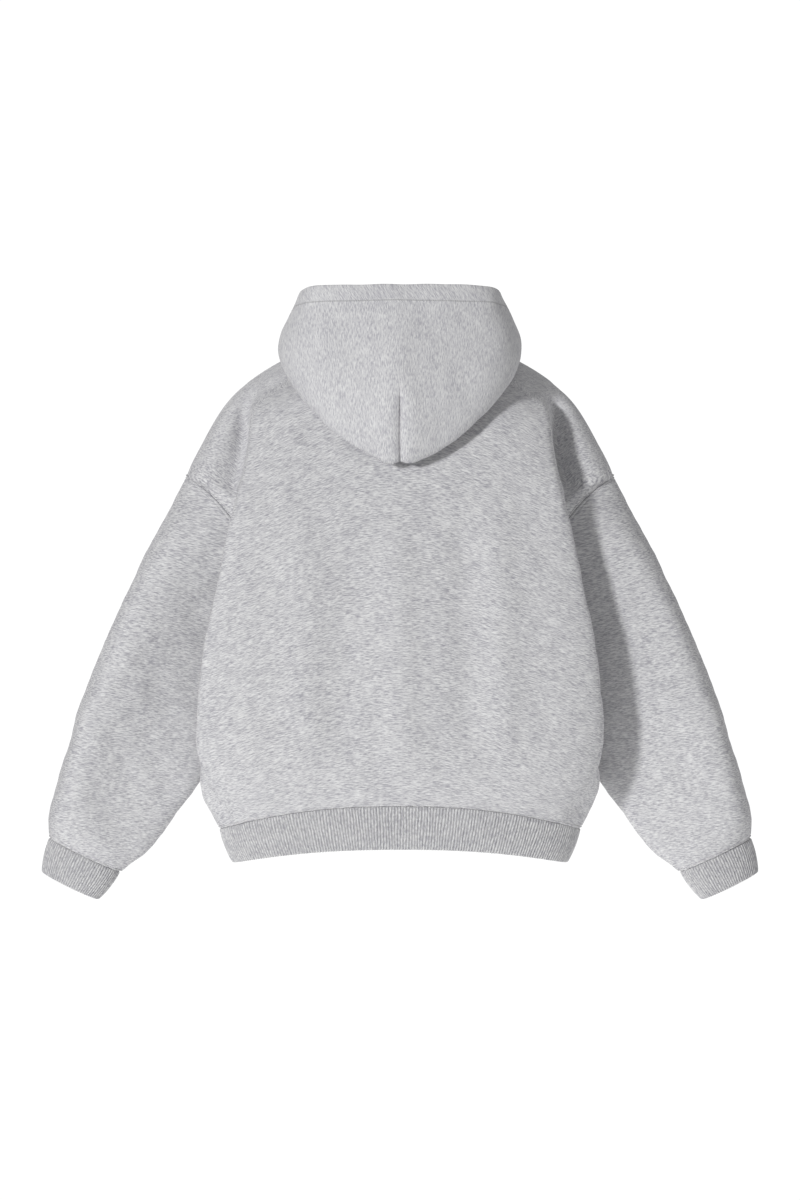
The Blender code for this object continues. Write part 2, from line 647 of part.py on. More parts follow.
def build():
    """The whole garment, one object for each sewn piece."""
    for old in list(bpy.data.objects):
        bpy.data.objects.remove(old, do_unlink=True)
    collection = bpy.data.collections.new(NAME)
    bpy.context.scene.collection.children.link(collection)
    walls = body_and_sleeve_walls()
    walls["cuff_left"] = cuff_wall()
    for piece in ("sleeve", "cuff"):
        points, faces = walls[piece + "_left"]
        walls[piece + "_right"] = (mirrored(np.array(points)), faces)
    walls["hem_rib"] = hem_wall()
    walls["hood"] = hood_wall()
    for name, wall in walls.items():
        ribbed = name.startswith(("cuff", "hem"))
        new_object(name, wall, cloth_material(name, RIB_HEATHER if ribbed else HEATHER))


build()
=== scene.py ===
"""Looks of the fleece hoodie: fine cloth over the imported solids, ribs, seams, stitches, light.

Metres, +Z up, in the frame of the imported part, and millimetres in the tables passed
to thousandths. The origin is the middle of the neck base, the front looks along -Y and
the wearer's right side is at -X. Each cloth is laid out from the same sizes as its
solid, on a finer grid, and stays one closed wall.
A panel's side is BACK or FRONT. A ring is a function of angle, from the centre back.
"""

import math

import bpy
import numpy as np
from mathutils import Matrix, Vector


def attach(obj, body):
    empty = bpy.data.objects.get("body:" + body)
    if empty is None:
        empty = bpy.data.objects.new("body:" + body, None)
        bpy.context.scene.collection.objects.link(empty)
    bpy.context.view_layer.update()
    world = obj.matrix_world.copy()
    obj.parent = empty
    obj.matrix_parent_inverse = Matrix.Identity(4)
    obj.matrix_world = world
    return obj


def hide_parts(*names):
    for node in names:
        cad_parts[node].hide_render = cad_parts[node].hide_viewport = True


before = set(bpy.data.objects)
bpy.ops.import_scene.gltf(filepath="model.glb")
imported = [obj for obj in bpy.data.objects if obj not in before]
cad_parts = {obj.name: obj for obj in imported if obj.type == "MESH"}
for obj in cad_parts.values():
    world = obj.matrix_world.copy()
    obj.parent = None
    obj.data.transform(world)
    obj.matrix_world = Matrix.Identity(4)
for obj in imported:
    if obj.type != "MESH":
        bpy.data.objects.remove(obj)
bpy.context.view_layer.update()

TURN = 2.0 * math.pi
UP = (0.0, 0.0, 1.0)
BACK, FRONT = 1, -1


def thousandths(*rows):
    """A table in metres, from one in millimetres. A share in it is in thousandths too."""
    return np.array(rows) / 1000.0


# Camera and stage
CAMERA_PLACE = (0.0, 4.667, -0.367)
LENS_MM = 100.0
SENSOR_MM = 36.0
MIDDLE = (0.0, 0.0, -0.36)
FLOOR_Z = -1.62
FLOOR_RADIUS = 1.5
FLOOR_SIDES = 96
BACKGROUND = 1.05
AMBIENT = 0.31
FLOOR_COLOR = (0.90, 0.90, 0.90, 1.0)
WHITE = (1.0, 1.0, 1.0, 1.0)
# name, degrees to the left of the camera, degrees up, distance, size, power
LIGHTS = (
    ("key", 31.0, 9.0, 6.0, 0.7, 224.0),
    ("side_fill", -82.0, 5.0, 6.0, 1.5, 52.0),
    ("front_fill", 165.0, 25.0, 3.5, 2.0, 52.0),
)


# ---- sizes of the cloth
FLEECE = 0.0030
FACE_HEM = 0.0048
RIB = 0.0030
SEAM_GAP = 0.0004

NECK_HALF_WIDTH = 0.091
NECK_BACK = 0.068
NECK_FRONT = 0.094
NECK_BACK_DROP = 0.020
NECK_FRONT_DROP = 0.085
NECK_FACING_OUT = 0.86
NECK_FACING_UP = 0.50
SHOULDER_LINE_Y = -0.012

HEM_SQUARENESS = 0.86
# ring, half width, depth behind, depth in front, mean height, rise at the centres
HEM_SEAM = (0.252, 0.104, 0.101, -0.6680, 0.0180)
HEM_EDGE = (0.235, 0.088, 0.086, -0.7205, 0.0115)

CUFF_DEPTH_EDGE = 0.031
CUFF_EDGE = (0.5051, -0.7486, 0.4248, -0.7881)

LEAN_SHIFT = 0.6         # share of a section's half width by which its lean shifts it

# outer_x, outer_z, inner_x, inner_z, y, back, front, bow, lean
SLEEVE_SECTIONS = thousandths(
    (299, -193, 196, -385, -12, 62, 66, 30, 0),
    (325, -242, 210, -419, -16, 66, 70, 20, 300),
    (354.5, -296, 221, -456, -20, 68, 73, 10, 500),
    (383.5, -358, 233, -500, -24, 68, 74, 4, 600),
    (411.5, -421, 247, -545, -27, 66, 72, 0, 650),
    (435, -480, 264, -590, -30, 65, 70, 0, 650),
    (456, -536, 285.5, -629, -32, 64, 68, 0, 650),
    (474, -594, 311, -663, -34, 62, 65, 0, 600),
    (489, -645, 340, -703, -36, 60, 62, 0, 500),
    (495.5, -681, 365, -729, -37, 52, 53, 0, 300),
    (493.8, -702.1, 395.2, -750, -38, 37, 37, 0, 0),
)

# x, y, z
SIDE_SEAM = thousandths(
    (252, 0, -686),
    (266, 0, -658),
    (266, -6, -620),
    (238, -14, -565),
    (214, -18, -500),
    (201, -15, -440),
)
ARMHOLE_ANGLES = (180, 135, 90, 45, 0)   # from the underarm up to the shoulder
UNDERARM = len(SIDE_SEAM)                # its place among the knots of the body's edge
SHOULDER = UNDERARM + len(ARMHOLE_ANGLES) - 1
SHOULDER_SEAM = thousandths(
    (271, -12, -136),
    (228, -12, -75),
    (156, -12, -27),
)

# centre_y, centre_z, crest_x, crest_y, valley_x, valley_y, cap_x, cap_y
BACK_SECTIONS = thousandths(
    (104, -650, 218, 66, 244, 32, 251, 16),
    (118, -632, 240, 76, 263, 34, 268, 17),
    (128, -598, 265, 84, 277, 42, 274, 18),
    (133, -548, 278, 94, 264, 30, 248, 6),
    (136, -490, 275, 102, 239, 34, 223, 6),
    (138, -435, 269, 108, 218, 40, 206, 14),
    (139, -395, 260, 113, 208, 44, 199, 20),
    (139, -340, 249, 116, 202, 58, 197, 45),
    (137, -288, 236.5, 118, 208, 62, 209.5, 56),
    (133, -245, 222, 117, 223, 48, 245, 48),
    (128, -207, 213, 111, 231, 33, 271, 40),
    (121, -162, 203, 98, 220, 25, 250, 32),
    (112, -118, 194, 73, 209, 26, 222, 16),
    (96, -70, 128, 52, 144, 30, 153, 8),
)
FRONT_SECTIONS = thousandths(
    (-101, -650, 218, -62, 244, -34, 251, -16),
    (-115, -632, 240, -70, 262, -36, 267, -18),
    (-125, -598, 254, -78, 264, -48, 269, -28),
    (-131, -548, 258, -96, 248, -60, 240, -36),
    (-135, -490, 250, -108, 229, -66, 218, -40),
    (-137, -435, 243, -112, 214, -68, 203, -38),
    (-137, -395, 236, -115, 208, -72, 199, -42),
    (-136, -345, 226, -117, 200, -90, 196.5, -74),
    (-133, -298, 218, -116, 206, -97, 210, -87),
    (-129, -260, 210, -114, 226, -94, 248, -78),
    (-124, -230, 203, -111, 234, -88, 272, -64),
    (-120, -193, 188, -107, 219, -81, 249, -54),
    (-115, -156, 164, -97, 193, -70, 216, -41),
    (-106, -120, 118, -81, 137, -56, 149, -34),
)
# A section's knots: centre, mid, blade, crest, lip, valley, cap and edge
COLUMN_RISE = (0.0, 0.03, 0.12, 0.38, 0.52, 0.70, 0.88, 1.0)
MID_OUT, MID_DEPTH = 0.42, 0.07
BLADE_OUT, BLADE_DEPTH = 0.80, 0.28
LIP_IN, LIP_DEPTH = 0.42, 0.55
VALLEY = 5               # the valley's place in that list

# Soft folds down the panels, as in the solids: a ridge, or a trough with a height below 0
# top_x, top_z, foot_x, foot_z, half_width, height
BACK_FOLDS = thousandths(
    (6, -250, -4, -620, 26, 7),
    (-80, -230, -94, -600, 24, -6),
    (-128, -210, -146, -610, 22, 6.5),
    (66, -260, 80, -600, 28, -5),
    (136, -220, 126, -620, 26, 5),
)
FRONT_FOLDS = thousandths(
    (-12, -260, 4, -610, 30, -4),
    (78, -240, 92, -620, 26, 4.5),
    (-94, -220, -104, -600, 28, 4),
    (-150, -280, -166, -600, 24, -3.5),
    (150, -250, 160, -610, 24, -3.5),
)
# Finer creases, in the same columns
BACK_CREASES = thousandths(
    (209, -60, 226, -216, 10, -5),
    (197, -70, 219, -250, 7, 2.4),
    (-212, -58, -231, -218, 10, -6.2),
    (-196, -68, -220, -256, 8, 2.7),
    (210, -500, 120, -560, 12, -1.6),
    (228, -585, 130, -612, 10, 1.3),
    (-215, -470, -150, -545, 12, -1.4),
    (-236, -560, -165, -600, 11, 1.5),
    (180, -300, 120, -420, 16, -1.4),
    (-186, -290, -140, -400, 15, 1.4),
    (40, -560, 20, -628, 10, -1.2),
    (-50, -545, -62, -630, 9, -1.1),
)
FRONT_CREASES = thousandths(
    (190, -330, 80, -460, 16, -2.4),
    (205, -380, 110, -520, 14, 2),
    (-188, -320, -92, -430, 15, -2.6),
    (-204, -410, -130, -540, 15, 2.2),
    (215, -520, 120, -590, 12, -1.8),
    (-222, -500, -150, -585, 12, -1.6),
    (60, -120, 140, -260, 16, -1.8),
    (-70, -130, -130, -250, 15, -1.6),
    (30, -550, 36, -630, 10, -1.3),
    (-52, -560, -48, -632, 10, 1.2),
)
# Creases of a sleeve: arc from its outer line, towards the back above 0, and way down
# the sleeve, at the head and the foot
# head_arc, head_down, foot_arc, foot_down, half_width, height
LEFT_SLEEVE_CREASES = thousandths(
    (120, 60, 60, 330, 18, -2.2),
    (60, 110, 15, 400, 16, 2),
    (150, 240, 80, 390, 14, 2),
    (170, 330, 100, 450, 12, -2),
    (20, 400, 40, 470, 10, -1.4),
    (-70, 80, -40, 320, 18, 2.4),
    (-130, 100, -80, 300, 16, -2.8),
    (-165, 200, -95, 330, 13, -3),
    (-160, 260, -60, 380, 13, 2.6),
    (-150, 340, -50, 420, 12, -2.4),
    (0, 440, -60, 480, 9, 1.4),
)
RIGHT_SLEEVE_CREASES = thousandths(
    (112, 80, 70, 350, 19, -2),
    (52, 90, 22, 380, 16, 1.8),
    (160, 210, 95, 360, 14, 2.2),
    (150, 340, 85, 460, 12, -1.8),
    (30, 410, 55, 475, 10, -1.5),
    (-60, 100, -48, 350, 17, 2.2),
    (-120, 70, -90, 280, 17, -3),
    (-160, 220, -80, 350, 13, -2.6),
    (-150, 290, -70, 400, 13, 2.8),
    (-140, 370, -45, 440, 11, -2.2),
)

# Stations of half the hood, at these angles from the centre back
HOOD_ANGLES = (0, 22, 44, 64, 84, 106, 130, 155, 178)
# stand, fold_x, fold_y, fold_z, edge_x, edge_y, edge_z, bulge
HOOD_STATIONS = thousandths(
    (34, 0, 152, -183, 0, 153, 59, 32),
    (34, 55, 145, -163, 62, 149, 59, 24),
    (34, 100, 134, -129, 109, 136, 59, 22),
    (33, 134, 110, -90, 132.5, 110, 57, 22),
    (31, 154, 66, -48, 140, 64, 51, 20),
    (23, 146, 4, -14, 133, 6, 35, 12),
    (15, 118, -56, -25, 110, -54, 7, 7),
    (10, 74, -104, -52, 72, -106, -29, 3),
    (6, 8, -110, -78, 10, -116, -60, 1),
)
HOOD_ROLL = ((0.00, 0.00), (0.15, 0.75), (0.60, 1.00))
HOOD_DOWN = ((0.42, 0.55), (0.78, 0.12), (1.00, 0.00))
HOOD_WALL = ((0.16, 0.80), (0.45, 1.00), (0.78, 0.45), (1.00, 0.00))
HOOD_FOLD_ROW = 5        # the fold's place among a station's knots
FACE_HEM_WIDTH = 0.021   # of the turned hem round the face
DART_TOP = -0.084        # height at which the crown dart ends

# ---- finish sizes
GRID_STEP = 0.0042       # between points of a cloth
RIB_ROW_STEP = 0.0035
# Distances from a seam at which the grid is cut closely, for its bead and stitches
SEAM_LADDER = (0.0005, 0.0010, 0.0016, 0.0022, 0.0028, 0.0033, 0.0038, 0.0043, 0.0049,
               0.0057, 0.0070, 0.0090, 0.0120)
SNAP_DISTANCE = 0.030    # over which a grid is eased onto its seam
SLEEVE_COLUMNS = 192
RIM_CUTS = 5             # cuts round a free edge
LINE_ENDS = 6.0          # how soon a fold or crease reaches its full height

# The courses of the knit
DROOP = 0.07             # by which those of a panel fall towards its sides
DROOP_START = 0.06       # distance from the middle at which they begin to
CAP_TURN = math.radians(48.0)   # by which they turn down in the dropped shoulder
CAP_ROWS = (UNDERARM - 0.6, UNDERARM + 6.2)   # places between which they do
LEVEL_COURSES = 0.75     # how far those of a sleeve lie level, not along its sections
BAND_LEAN = 0.5          # how far those of the turned hem lean over

STITCH_LINE = 0.0038     # from a seam to its row of stitches
RIB_BEAD = 1.7           # how much taller a seam's bead is beside a rib
# Beside a seam: the dip into it, its bead, the stitches' dip and the swell past them
# height, distance, half_width
SEAM_SHAPE = (
    (-0.00080, 0.0, 0.0009),
    (0.00045, 0.0020, 0.0011),
    (-0.00060, STITCH_LINE, 0.0007),
    (0.00025, 0.0062, 0.0018),
)
SEAM_DIP, SEAM_DIP_WIDTH = 0.0008, 0.0012           # of the underarm seam
DART_SHAPE = ((-0.0042, 0.0, 0.0070), (0.0012, 0.018, 0.012))
DART_SEAM_DIP, DART_SEAM_WIDTH = 0.0028, 0.0011
KEEL_RISE, KEEL_WIDTH = 0.0028, 0.020               # of the ridge above the dart
BAND_RISE = 0.0004                                  # of the turned hem
HEM_STITCH_DIP, HEM_STITCH_WIDTH = 0.0010, 0.0010   # of its row of stitches

# Gathers: pitch, height, reach, phase
ARMHOLE_GATHERS = (0.023, 0.0003, 0.008, 1.0)
HEM_GATHERS = (0.021, 0.0009, 0.014, 2.0)
CAP_GATHERS = (0.023, 0.0005, 0.012, 0.7)
WRIST_GATHERS = (0.026, 0.0016, 0.016, 1.9)
RIB_GATHERS = (0.031, 0.0010, 0.020, 0.9)
FACE_GATHERS = (0.019, 0.0005, 0.010, 0.6)
# Their waves: share of the height, length in pitches, phases
GATHER_WAVES = ((1.0, 1.0, 1.0), (0.7, 1.73, 2.1), (0.6, 0.59, 3.7))
# Slow waves of the cloth: height, size, phase
BODY_WAVES = (0.0007, 0.11, 1.5)
SLEEVE_WAVES = (0.0007, 0.10, 0.4)
HOOD_WAVES = (0.0008, 0.12, 2.2)
WAVES_START = 0.03       # distance from a seam at which they have their full height

HEM_RIBS = 288
CUFF_RIBS = 72
RIB_CUTS = 6             # points across a rib
RIB_PITCH = 0.0040       # width of a rib on the flat cloth
RIB_RELIEF = 0.00075
RIB_GROOVE_SHADE = (0.4, -1.0)        # a rib's wave at the edge and the bottom of its groove, between which painted shade darkens its colour
RIB_BELLY = 0.0022       # by which the tube bellies out between its seam and its edge
RIB_SEAM_DIP, RIB_SEAM_WIDTH = 0.0011, 0.0016

THREAD = 0.00032         # a thread's radius
THREAD_SIDES = 5
STITCH_PITCH = 0.0030
STITCH_SHARE = 0.78      # of the pitch that a stitch covers
LOOK_AHEAD = 0.0005      # over which a thread's direction is read
# Along a stitch: share of its length, share of the thread's radius, and its lift
STITCH_RINGS = ((0.0, 0.45, -0.9), (0.2, 1.0, 0.25), (0.5, 1.05, 0.55), (0.8, 1.0, 0.25),
                (1.0, 0.45, -0.9))


# ---- geometry
def spline(knots, places):
    """Natural cubic spline through the rows of knots, read at places counted in rows."""
    knots = np.asarray(knots, float)
    places = np.asarray(places, float)
    count = len(knots)
    flat = knots.reshape(count, -1)
    matrix = np.eye(count)
    pull = np.zeros_like(flat)
    for row in range(1, count - 1):
        matrix[row, row - 1:row + 2] = (1.0, 4.0, 1.0)
        pull[row] = 6.0 * (flat[row - 1] - 2.0 * flat[row] + flat[row + 1])
    bend = np.linalg.solve(matrix, pull)
    start = np.clip(np.floor(places).astype(int), 0, count - 2)
    ahead = (places - start)[:, None]
    behind = 1.0 - ahead
    value = behind * flat[start] + ahead * flat[start + 1]
    value += (behind ** 3 - behind) * bend[start] / 6.0
    value += (ahead ** 3 - ahead) * bend[start + 1] / 6.0
    return value.reshape((len(places),) + knots.shape[1:])


def surface(net, row_places, column_places):
    """Grid of points on the smooth surface through a net of knots."""
    return turned(spline(turned(spline(net, row_places)), column_places))


def turned(grid):
    """The same grid with its rows for columns."""
    return grid.transpose(1, 0, 2)


def unit(vectors):
    """The same vectors, one long."""
    length = np.linalg.norm(vectors, axis=-1, keepdims=True)
    return vectors / np.maximum(length, 1e-12)


def mirrored(points):
    """The same points on the other side of the body."""
    return points * (-1.0, 1.0, 1.0)


def both_halves(half):
    """Rows on both sides of the body, from those at +X, which start at the middle."""
    return np.concatenate([mirrored(half[:0:-1]), half])


def both_ways(places):
    """The same places on both sides of the first."""
    return np.concatenate([-places[:0:-1], places])


def outward(grid, side=BACK, closed=False):
    """Directions out of a panel, or out of a closed tube."""
    up = np.gradient(grid, axis=0)
    across = np.gradient(grid, axis=1)
    if closed:
        across = np.roll(grid, -1, axis=1) - np.roll(grid, 1, axis=1)
    return side * unit(np.cross(up, across))


def spans(grid, axis):
    """Distances along one axis of a grid, from its first row or column."""
    length = np.linalg.norm(np.diff(grid, axis=axis), axis=2)
    start = np.zeros_like(np.take(length, [0], axis=axis))
    return np.cumsum(np.concatenate([start, length], axis=axis), axis=axis)


def from_ends(grid, axis):
    """Distances along one axis of a grid, from its first row or column and its last."""
    return spans(grid, axis), np.flip(spans(np.flip(grid, axis), axis), axis)


def from_middle(grid):
    """Distances across a grid from its middle column, towards +X."""
    across = spans(grid, 1)
    middle = grid.shape[1] // 2
    return across - across[:, middle:middle + 1]


def looped(grid):
    """A closed grid, with its first column again at the end."""
    return np.concatenate([grid, grid[:, :1]], axis=1)


def line_ways(line):
    """Distances of a line's points from its start, along it."""
    return np.concatenate([[0.0], np.cumsum(np.linalg.norm(np.diff(line, axis=0), axis=1))])


def read_at(place, places, line, **kind):
    """Where a line is at a place, from the places of its points."""
    return np.array([np.interp(place, places, line[:, axis], **kind) for axis in range(3)])


def net_places(net, axis, close_start=False, close_end=False):
    """Places along one axis of a net: even steps, and closer ones beside a seam."""
    lengths = np.linalg.norm(np.diff(net, axis=axis), axis=2).mean(axis=1 - axis)
    places = [0.0]
    last = len(lengths) - 1
    for knot, length in enumerate(lengths):
        near_end = close_end and knot == last
        if near_end or (close_start and knot == 0):
            ladder = [way for way in SEAM_LADDER if way < 0.8 * length]
            rest = length - ladder[-1]
            count = max(1, round(rest / GRID_STEP))
            ways = ladder + [ladder[-1] + rest * (step + 1) / count for step in range(count)]
            shares = [way / length for way in ways]
            if near_end:
                shares = sorted(1.0 - share for share in shares)[1:] + [1.0]
                shares = [share for share in shares if share > 1e-9]
        else:
            count = max(1, round(length / GRID_STEP))
            shares = [(step + 1) / count for step in range(count)]
        places += [knot + share for share in shares]
    return np.array(places)


def neckline(angle):
    """The neck seam at an angle from the centre back, towards +X, in radians."""
    back = math.cos(angle) > 0.0
    depth = NECK_BACK if back else NECK_FRONT
    drop = NECK_BACK_DROP if back else NECK_FRONT_DROP
    reach = depth - SHOULDER_LINE_Y if back else depth + SHOULDER_LINE_Y
    y = SHOULDER_LINE_Y + reach * math.cos(angle)
    return (NECK_HALF_WIDTH * math.sin(angle), y, -drop * math.cos(angle) ** 2)


def neck_angle(side, share):
    """The neckline's angle at a share of the way from a panel's centre to its edge."""
    return (0.0 if side == BACK else math.pi) + side * math.pi / 2.0 * share


def hem_ring(ring, angle):
    """A ring of the hem band at an angle from the centre back, towards +X."""
    half_width, back, front, height, rise = ring
    sine, cosine = math.sin(angle), math.cos(angle)
    depth = back if cosine > 0.0 else front
    x = half_width * math.copysign(abs(sine) ** HEM_SQUARENESS, sine)
    y = depth * math.copysign(abs(cosine) ** HEM_SQUARENESS, cosine)
    return (x, y, height + rise * math.cos(2.0 * angle))


def sleeve_grid(sections, angles):
    """Points of the sleeve at +X: a row for each section, a column for each angle.

    The angle starts on the outer side and goes round by the back.
    """
    grid = np.zeros((len(sections), len(angles), 3))
    for row, section in enumerate(sections):
        outer_x, outer_z, inner_x, inner_z, y, back, front, bow, lean = section
        middle = np.array(((outer_x + inner_x) / 2.0, y, (outer_z + inner_z) / 2.0))
        half = np.array(((outer_x - inner_x) / 2.0, 0.0, (outer_z - inner_z) / 2.0))
        away = unit(np.array((half[2], 0.0, -half[0])))
        for column, angle in enumerate(angles):
            sine, cosine = math.sin(angle), math.cos(angle)
            depth = back if sine > 0.0 else front
            point = middle + half * (cosine + LEAN_SHIFT * lean * sine ** 2)
            point -= away * bow * sine ** 2
            point[1] += depth * sine * (1.0 + lean * cosine * abs(sine))
            grid[row, column] = point
    return grid


def body_edge(side):
    """Knots of the body's edge at +X, from the hem to the neck."""
    angles = [side * math.radians(angle) for angle in ARMHOLE_ANGLES]
    armhole = sleeve_grid(SLEEVE_SECTIONS[:1], angles)[0]
    neck = neckline(math.pi / 2.0)
    return np.array([*SIDE_SEAM, *armhole, *SHOULDER_SEAM, neck])


def body_columns(side):
    """Knots of the half at +X: a row for each section, columns from centre to edge."""
    edge = body_edge(side)
    rows = []
    for row, section in enumerate(BACK_SECTIONS if side == BACK else FRONT_SECTIONS):
        centre_y, centre_z, crest_x, crest_y, valley_x, valley_y, cap_x, cap_y = section
        slope = crest_y - centre_y
        out = (0.0, MID_OUT * crest_x, BLADE_OUT * crest_x, crest_x,
               crest_x + LIP_IN * (valley_x - crest_x), valley_x, cap_x, edge[row][0])
        depth = (centre_y, centre_y + MID_DEPTH * slope, centre_y + BLADE_DEPTH * slope,
                 crest_y, crest_y + LIP_DEPTH * (valley_y - crest_y), valley_y, cap_y,
                 edge[row][1])
        rise = [centre_z + share * (edge[row][2] - centre_z) for share in COLUMN_RISE]
        rows.append(list(zip(out, depth, rise)))
    last = len(COLUMN_RISE) - 1
    rows.append([neckline(neck_angle(side, column / last)) for column in range(last + 1)])
    return np.array(rows)


def body_net(side):
    """Knots over a whole panel, with one column past each edge to set its slope."""
    own = body_columns(side)
    other = body_columns(-side)
    beyond = other[:, -2].copy()
    for row in range(UNDERARM + 1, SHOULDER):
        beyond[row] = 2.0 * own[row, -1] - own[row, -2]
    half = np.concatenate([own, beyond[:, None]], axis=1)
    return turned(both_halves(turned(half)))


def snap_edge(grid, target):
    """Move the first column of a grid onto its seam, and ease its neighbours along."""
    shift = target - grid[:, 0]
    far = spans(grid, 1)
    ease = np.clip(1.0 - far / SNAP_DISTANCE, 0.0, 1.0) ** 2
    grid += shift[:, None] * ease[..., None]


def edge_point(side, place):
    """A point of the body's edge at +X: side seam, armhole or shoulder seam."""
    knots = body_edge(side)
    if place < UNDERARM:
        return spline(knots[:UNDERARM + 1], [place])[0]
    if place > SHOULDER:
        return spline(knots[SHOULDER:], [place - SHOULDER])[0]
    angle = side * math.pi * (SHOULDER - place) / (SHOULDER - UNDERARM)
    return sleeve_grid(SLEEVE_SECTIONS[:1], [angle])[0, 0]


def body_grid(side, row_places, half_columns):
    """A panel's outer points, with its neck, hem and armholes on their seams."""
    net = body_net(side)
    columns = both_ways(half_columns)
    grid = surface(net, row_places, net.shape[1] // 2 + columns)
    seam = np.array([edge_point(side, place) for place in row_places])
    snap_edge(grid[:, ::-1], seam)
    snap_edge(grid, mirrored(seam))
    neck = [neckline(neck_angle(side, share)) for share in columns / columns[-1]]
    snap_edge(turned(grid)[:, ::-1], np.array(neck))
    hem = [hem_ring(HEM_SEAM, hem_angle(side, point)) for point in grid[0]]
    snap_edge(turned(grid), np.array(hem))
    return grid


def hem_angle(side, point):
    """The hem ring's angle at which it has a point's x."""
    share = min(1.0, abs(point[0]) / HEM_SEAM[0]) ** (1.0 / HEM_SQUARENESS)
    angle = math.asin(share)
    if side == FRONT:
        angle = math.pi - angle
    return math.copysign(angle, point[0]) if point[0] else angle


def hood_knots(angle, station):
    """Knots of one station of the hood, from the neck seam to the face edge."""
    angle = math.radians(angle)
    seam = np.array(neckline(angle))
    stand, fold, edge, bulge = station[0], station[1:4], station[4:7], station[7]
    out = np.array((math.sin(angle), math.cos(angle), 0.0))
    away = unit(fold * (1.0, 1.0, 0.0) - (0.0, SHOULDER_LINE_Y, 0.0))
    up = np.array(UP)
    knots = [seam + stand * (share_out * out + share_up * up) for share_out, share_up in HOOD_ROLL]
    knots += [seam + share * (fold - seam) + lift * stand * up for share, lift in HOOD_DOWN]
    knots += [fold + share * (edge - fold) + out_by * bulge * away for share, out_by in HOOD_WALL]
    return knots


def hood_net():
    """Knots over the whole hood: rows from the neck seam to the face edge."""
    stations = [hood_knots(*station) for station in zip(HOOD_ANGLES, HOOD_STATIONS)]
    return turned(both_halves(np.array(stations)))


def ring_facing(ring, axis, angle):
    """Direction out of a ring that turns left about its axis."""
    along = np.array(ring(angle + 0.002)) - np.array(ring(angle - 0.002))
    return unit(np.cross(axis, along))


def neck_facing(angle):
    """Facing of both cloths at the neck seam: outward and half up."""
    out = ring_facing(neckline, UP, angle)
    return unit(out * NECK_FACING_OUT + np.array((0.0, 0.0, NECK_FACING_UP)))


def hem_seam(angle):
    """The seam between the body and the hem band."""
    return hem_ring(HEM_SEAM, angle)


def cuff_axis():
    """Direction down the sleeve, square to the cuff seam."""
    outer_x, outer_z, inner_x, inner_z = SLEEVE_SECTIONS[-1][:4]
    return unit(np.array((outer_z - inner_z, 0.0, inner_x - outer_x)))


def cuff_seam(angle):
    """The seam between the sleeve and the cuff at +X."""
    return sleeve_grid(SLEEVE_SECTIONS[-1:], [angle])[0, 0]


# ---- folds, puckers, seams
def smooth(low, high, value):
    """0 below low, 1 above high, and a soft step between."""
    share = np.clip((value - low) / (high - low), 0.0, 1.0)
    return share * share * (3.0 - 2.0 * share)


def swell(away, half_width):
    """A soft swell, 1 where away is 0."""
    return np.exp(-(away / half_width) ** 2)


def ridges(across, down, lines):
    """Height of soft lines at each point, given its two places on the cloth."""
    height = np.zeros(across.shape)
    for top_a, top_d, foot_a, foot_d, half_width, rise in lines:
        way = np.array((foot_a - top_a, foot_d - top_d))
        length = math.hypot(*way)
        way = way / length
        along = ((across - top_a) * way[0] + (down - top_d) * way[1]) / length
        off = (across - top_a) * way[1] - (down - top_d) * way[0]
        ends = smooth(0.0, 1.0, LINE_ENDS * along * (1.0 - along))
        height += rise * swell(off, half_width) * ends
    return height


def panel_folds(grid, folds):
    """Height of a panel's long folds, the same as in its solid."""
    height = np.zeros(grid.shape[:2])
    for top_x, top_z, foot_x, foot_z, half_width, rise in folds:
        along = (top_z - grid[..., 2]) / (top_z - foot_z)
        line = top_x + along * (foot_x - top_x)
        ends = np.clip(LINE_ENDS * along * (1.0 - along), 0.0, 1.0)
        height += rise * swell(grid[..., 0] - line, half_width) * ends
    return height


def puckers(along, away, gathers, turn=0.0):
    """Uneven small gathers along a seam, which fade away from it."""
    pitch, height, reach, phase = gathers
    phase += turn
    turns = TURN * along / pitch
    wave = sum(share * np.sin(turns / length + shift * phase)
               for share, length, shift in GATHER_WAVES)
    slow = 0.6 + 0.4 * np.sin(turns / 6.3 + 1.3 * phase)
    return height * wave * slow / 2.3 * np.exp(-away / reach)


def seam_profile(away, bead=1.0, stitched=1.0):
    """Height beside a seam: it dips into the join, swells, and dips under the stitches."""
    shares = (1.0, bead, stitched, stitched)
    return sum(height * share * swell(away - at, half_width)
               for (height, at, half_width), share in zip(SEAM_SHAPE, shares))


def unevenness(grid, waves, turn=0.0):
    """Slow waves of the cloth, a little different everywhere."""
    height, size, phase = waves
    phase += turn
    x, y, z = (grid[..., axis] * TURN / size for axis in range(3))
    wave = np.sin(x + 0.7 * z + phase) * np.sin(0.8 * z - 0.5 * x + 1.7 * phase)
    wave += 0.7 * np.sin(1.9 * x + 0.6 * y + 0.4 * z + 2.3 * phase) * np.sin(1.4 * z + phase)
    wave += 0.5 * np.sin(0.9 * y + 2.7 * z + 1.1 * phase) * np.sin(2.3 * x - 1.2 * z)
    return height * wave


def clear_of(*distances):
    """0 at the nearest of some seams, and 1 from WAVES_START on."""
    return np.clip(np.minimum.reduce(distances) / WAVES_START, 0.0, 1.0)


def retreat(grid, facing, closed=False):
    """Draw the first row of a grid back from its seam, inside the cloth."""
    line = grid[0]
    along = np.gradient(line, axis=0)
    if closed:
        along = np.roll(line, -1, axis=0) - np.roll(line, 1, axis=0)
    inward = grid[1] - line
    for aside in (unit(along), facing[0]):
        inward = inward - aside * np.sum(inward * aside, axis=1, keepdims=True)
    grid[0] = line + unit(inward) * SEAM_GAP / 2.0


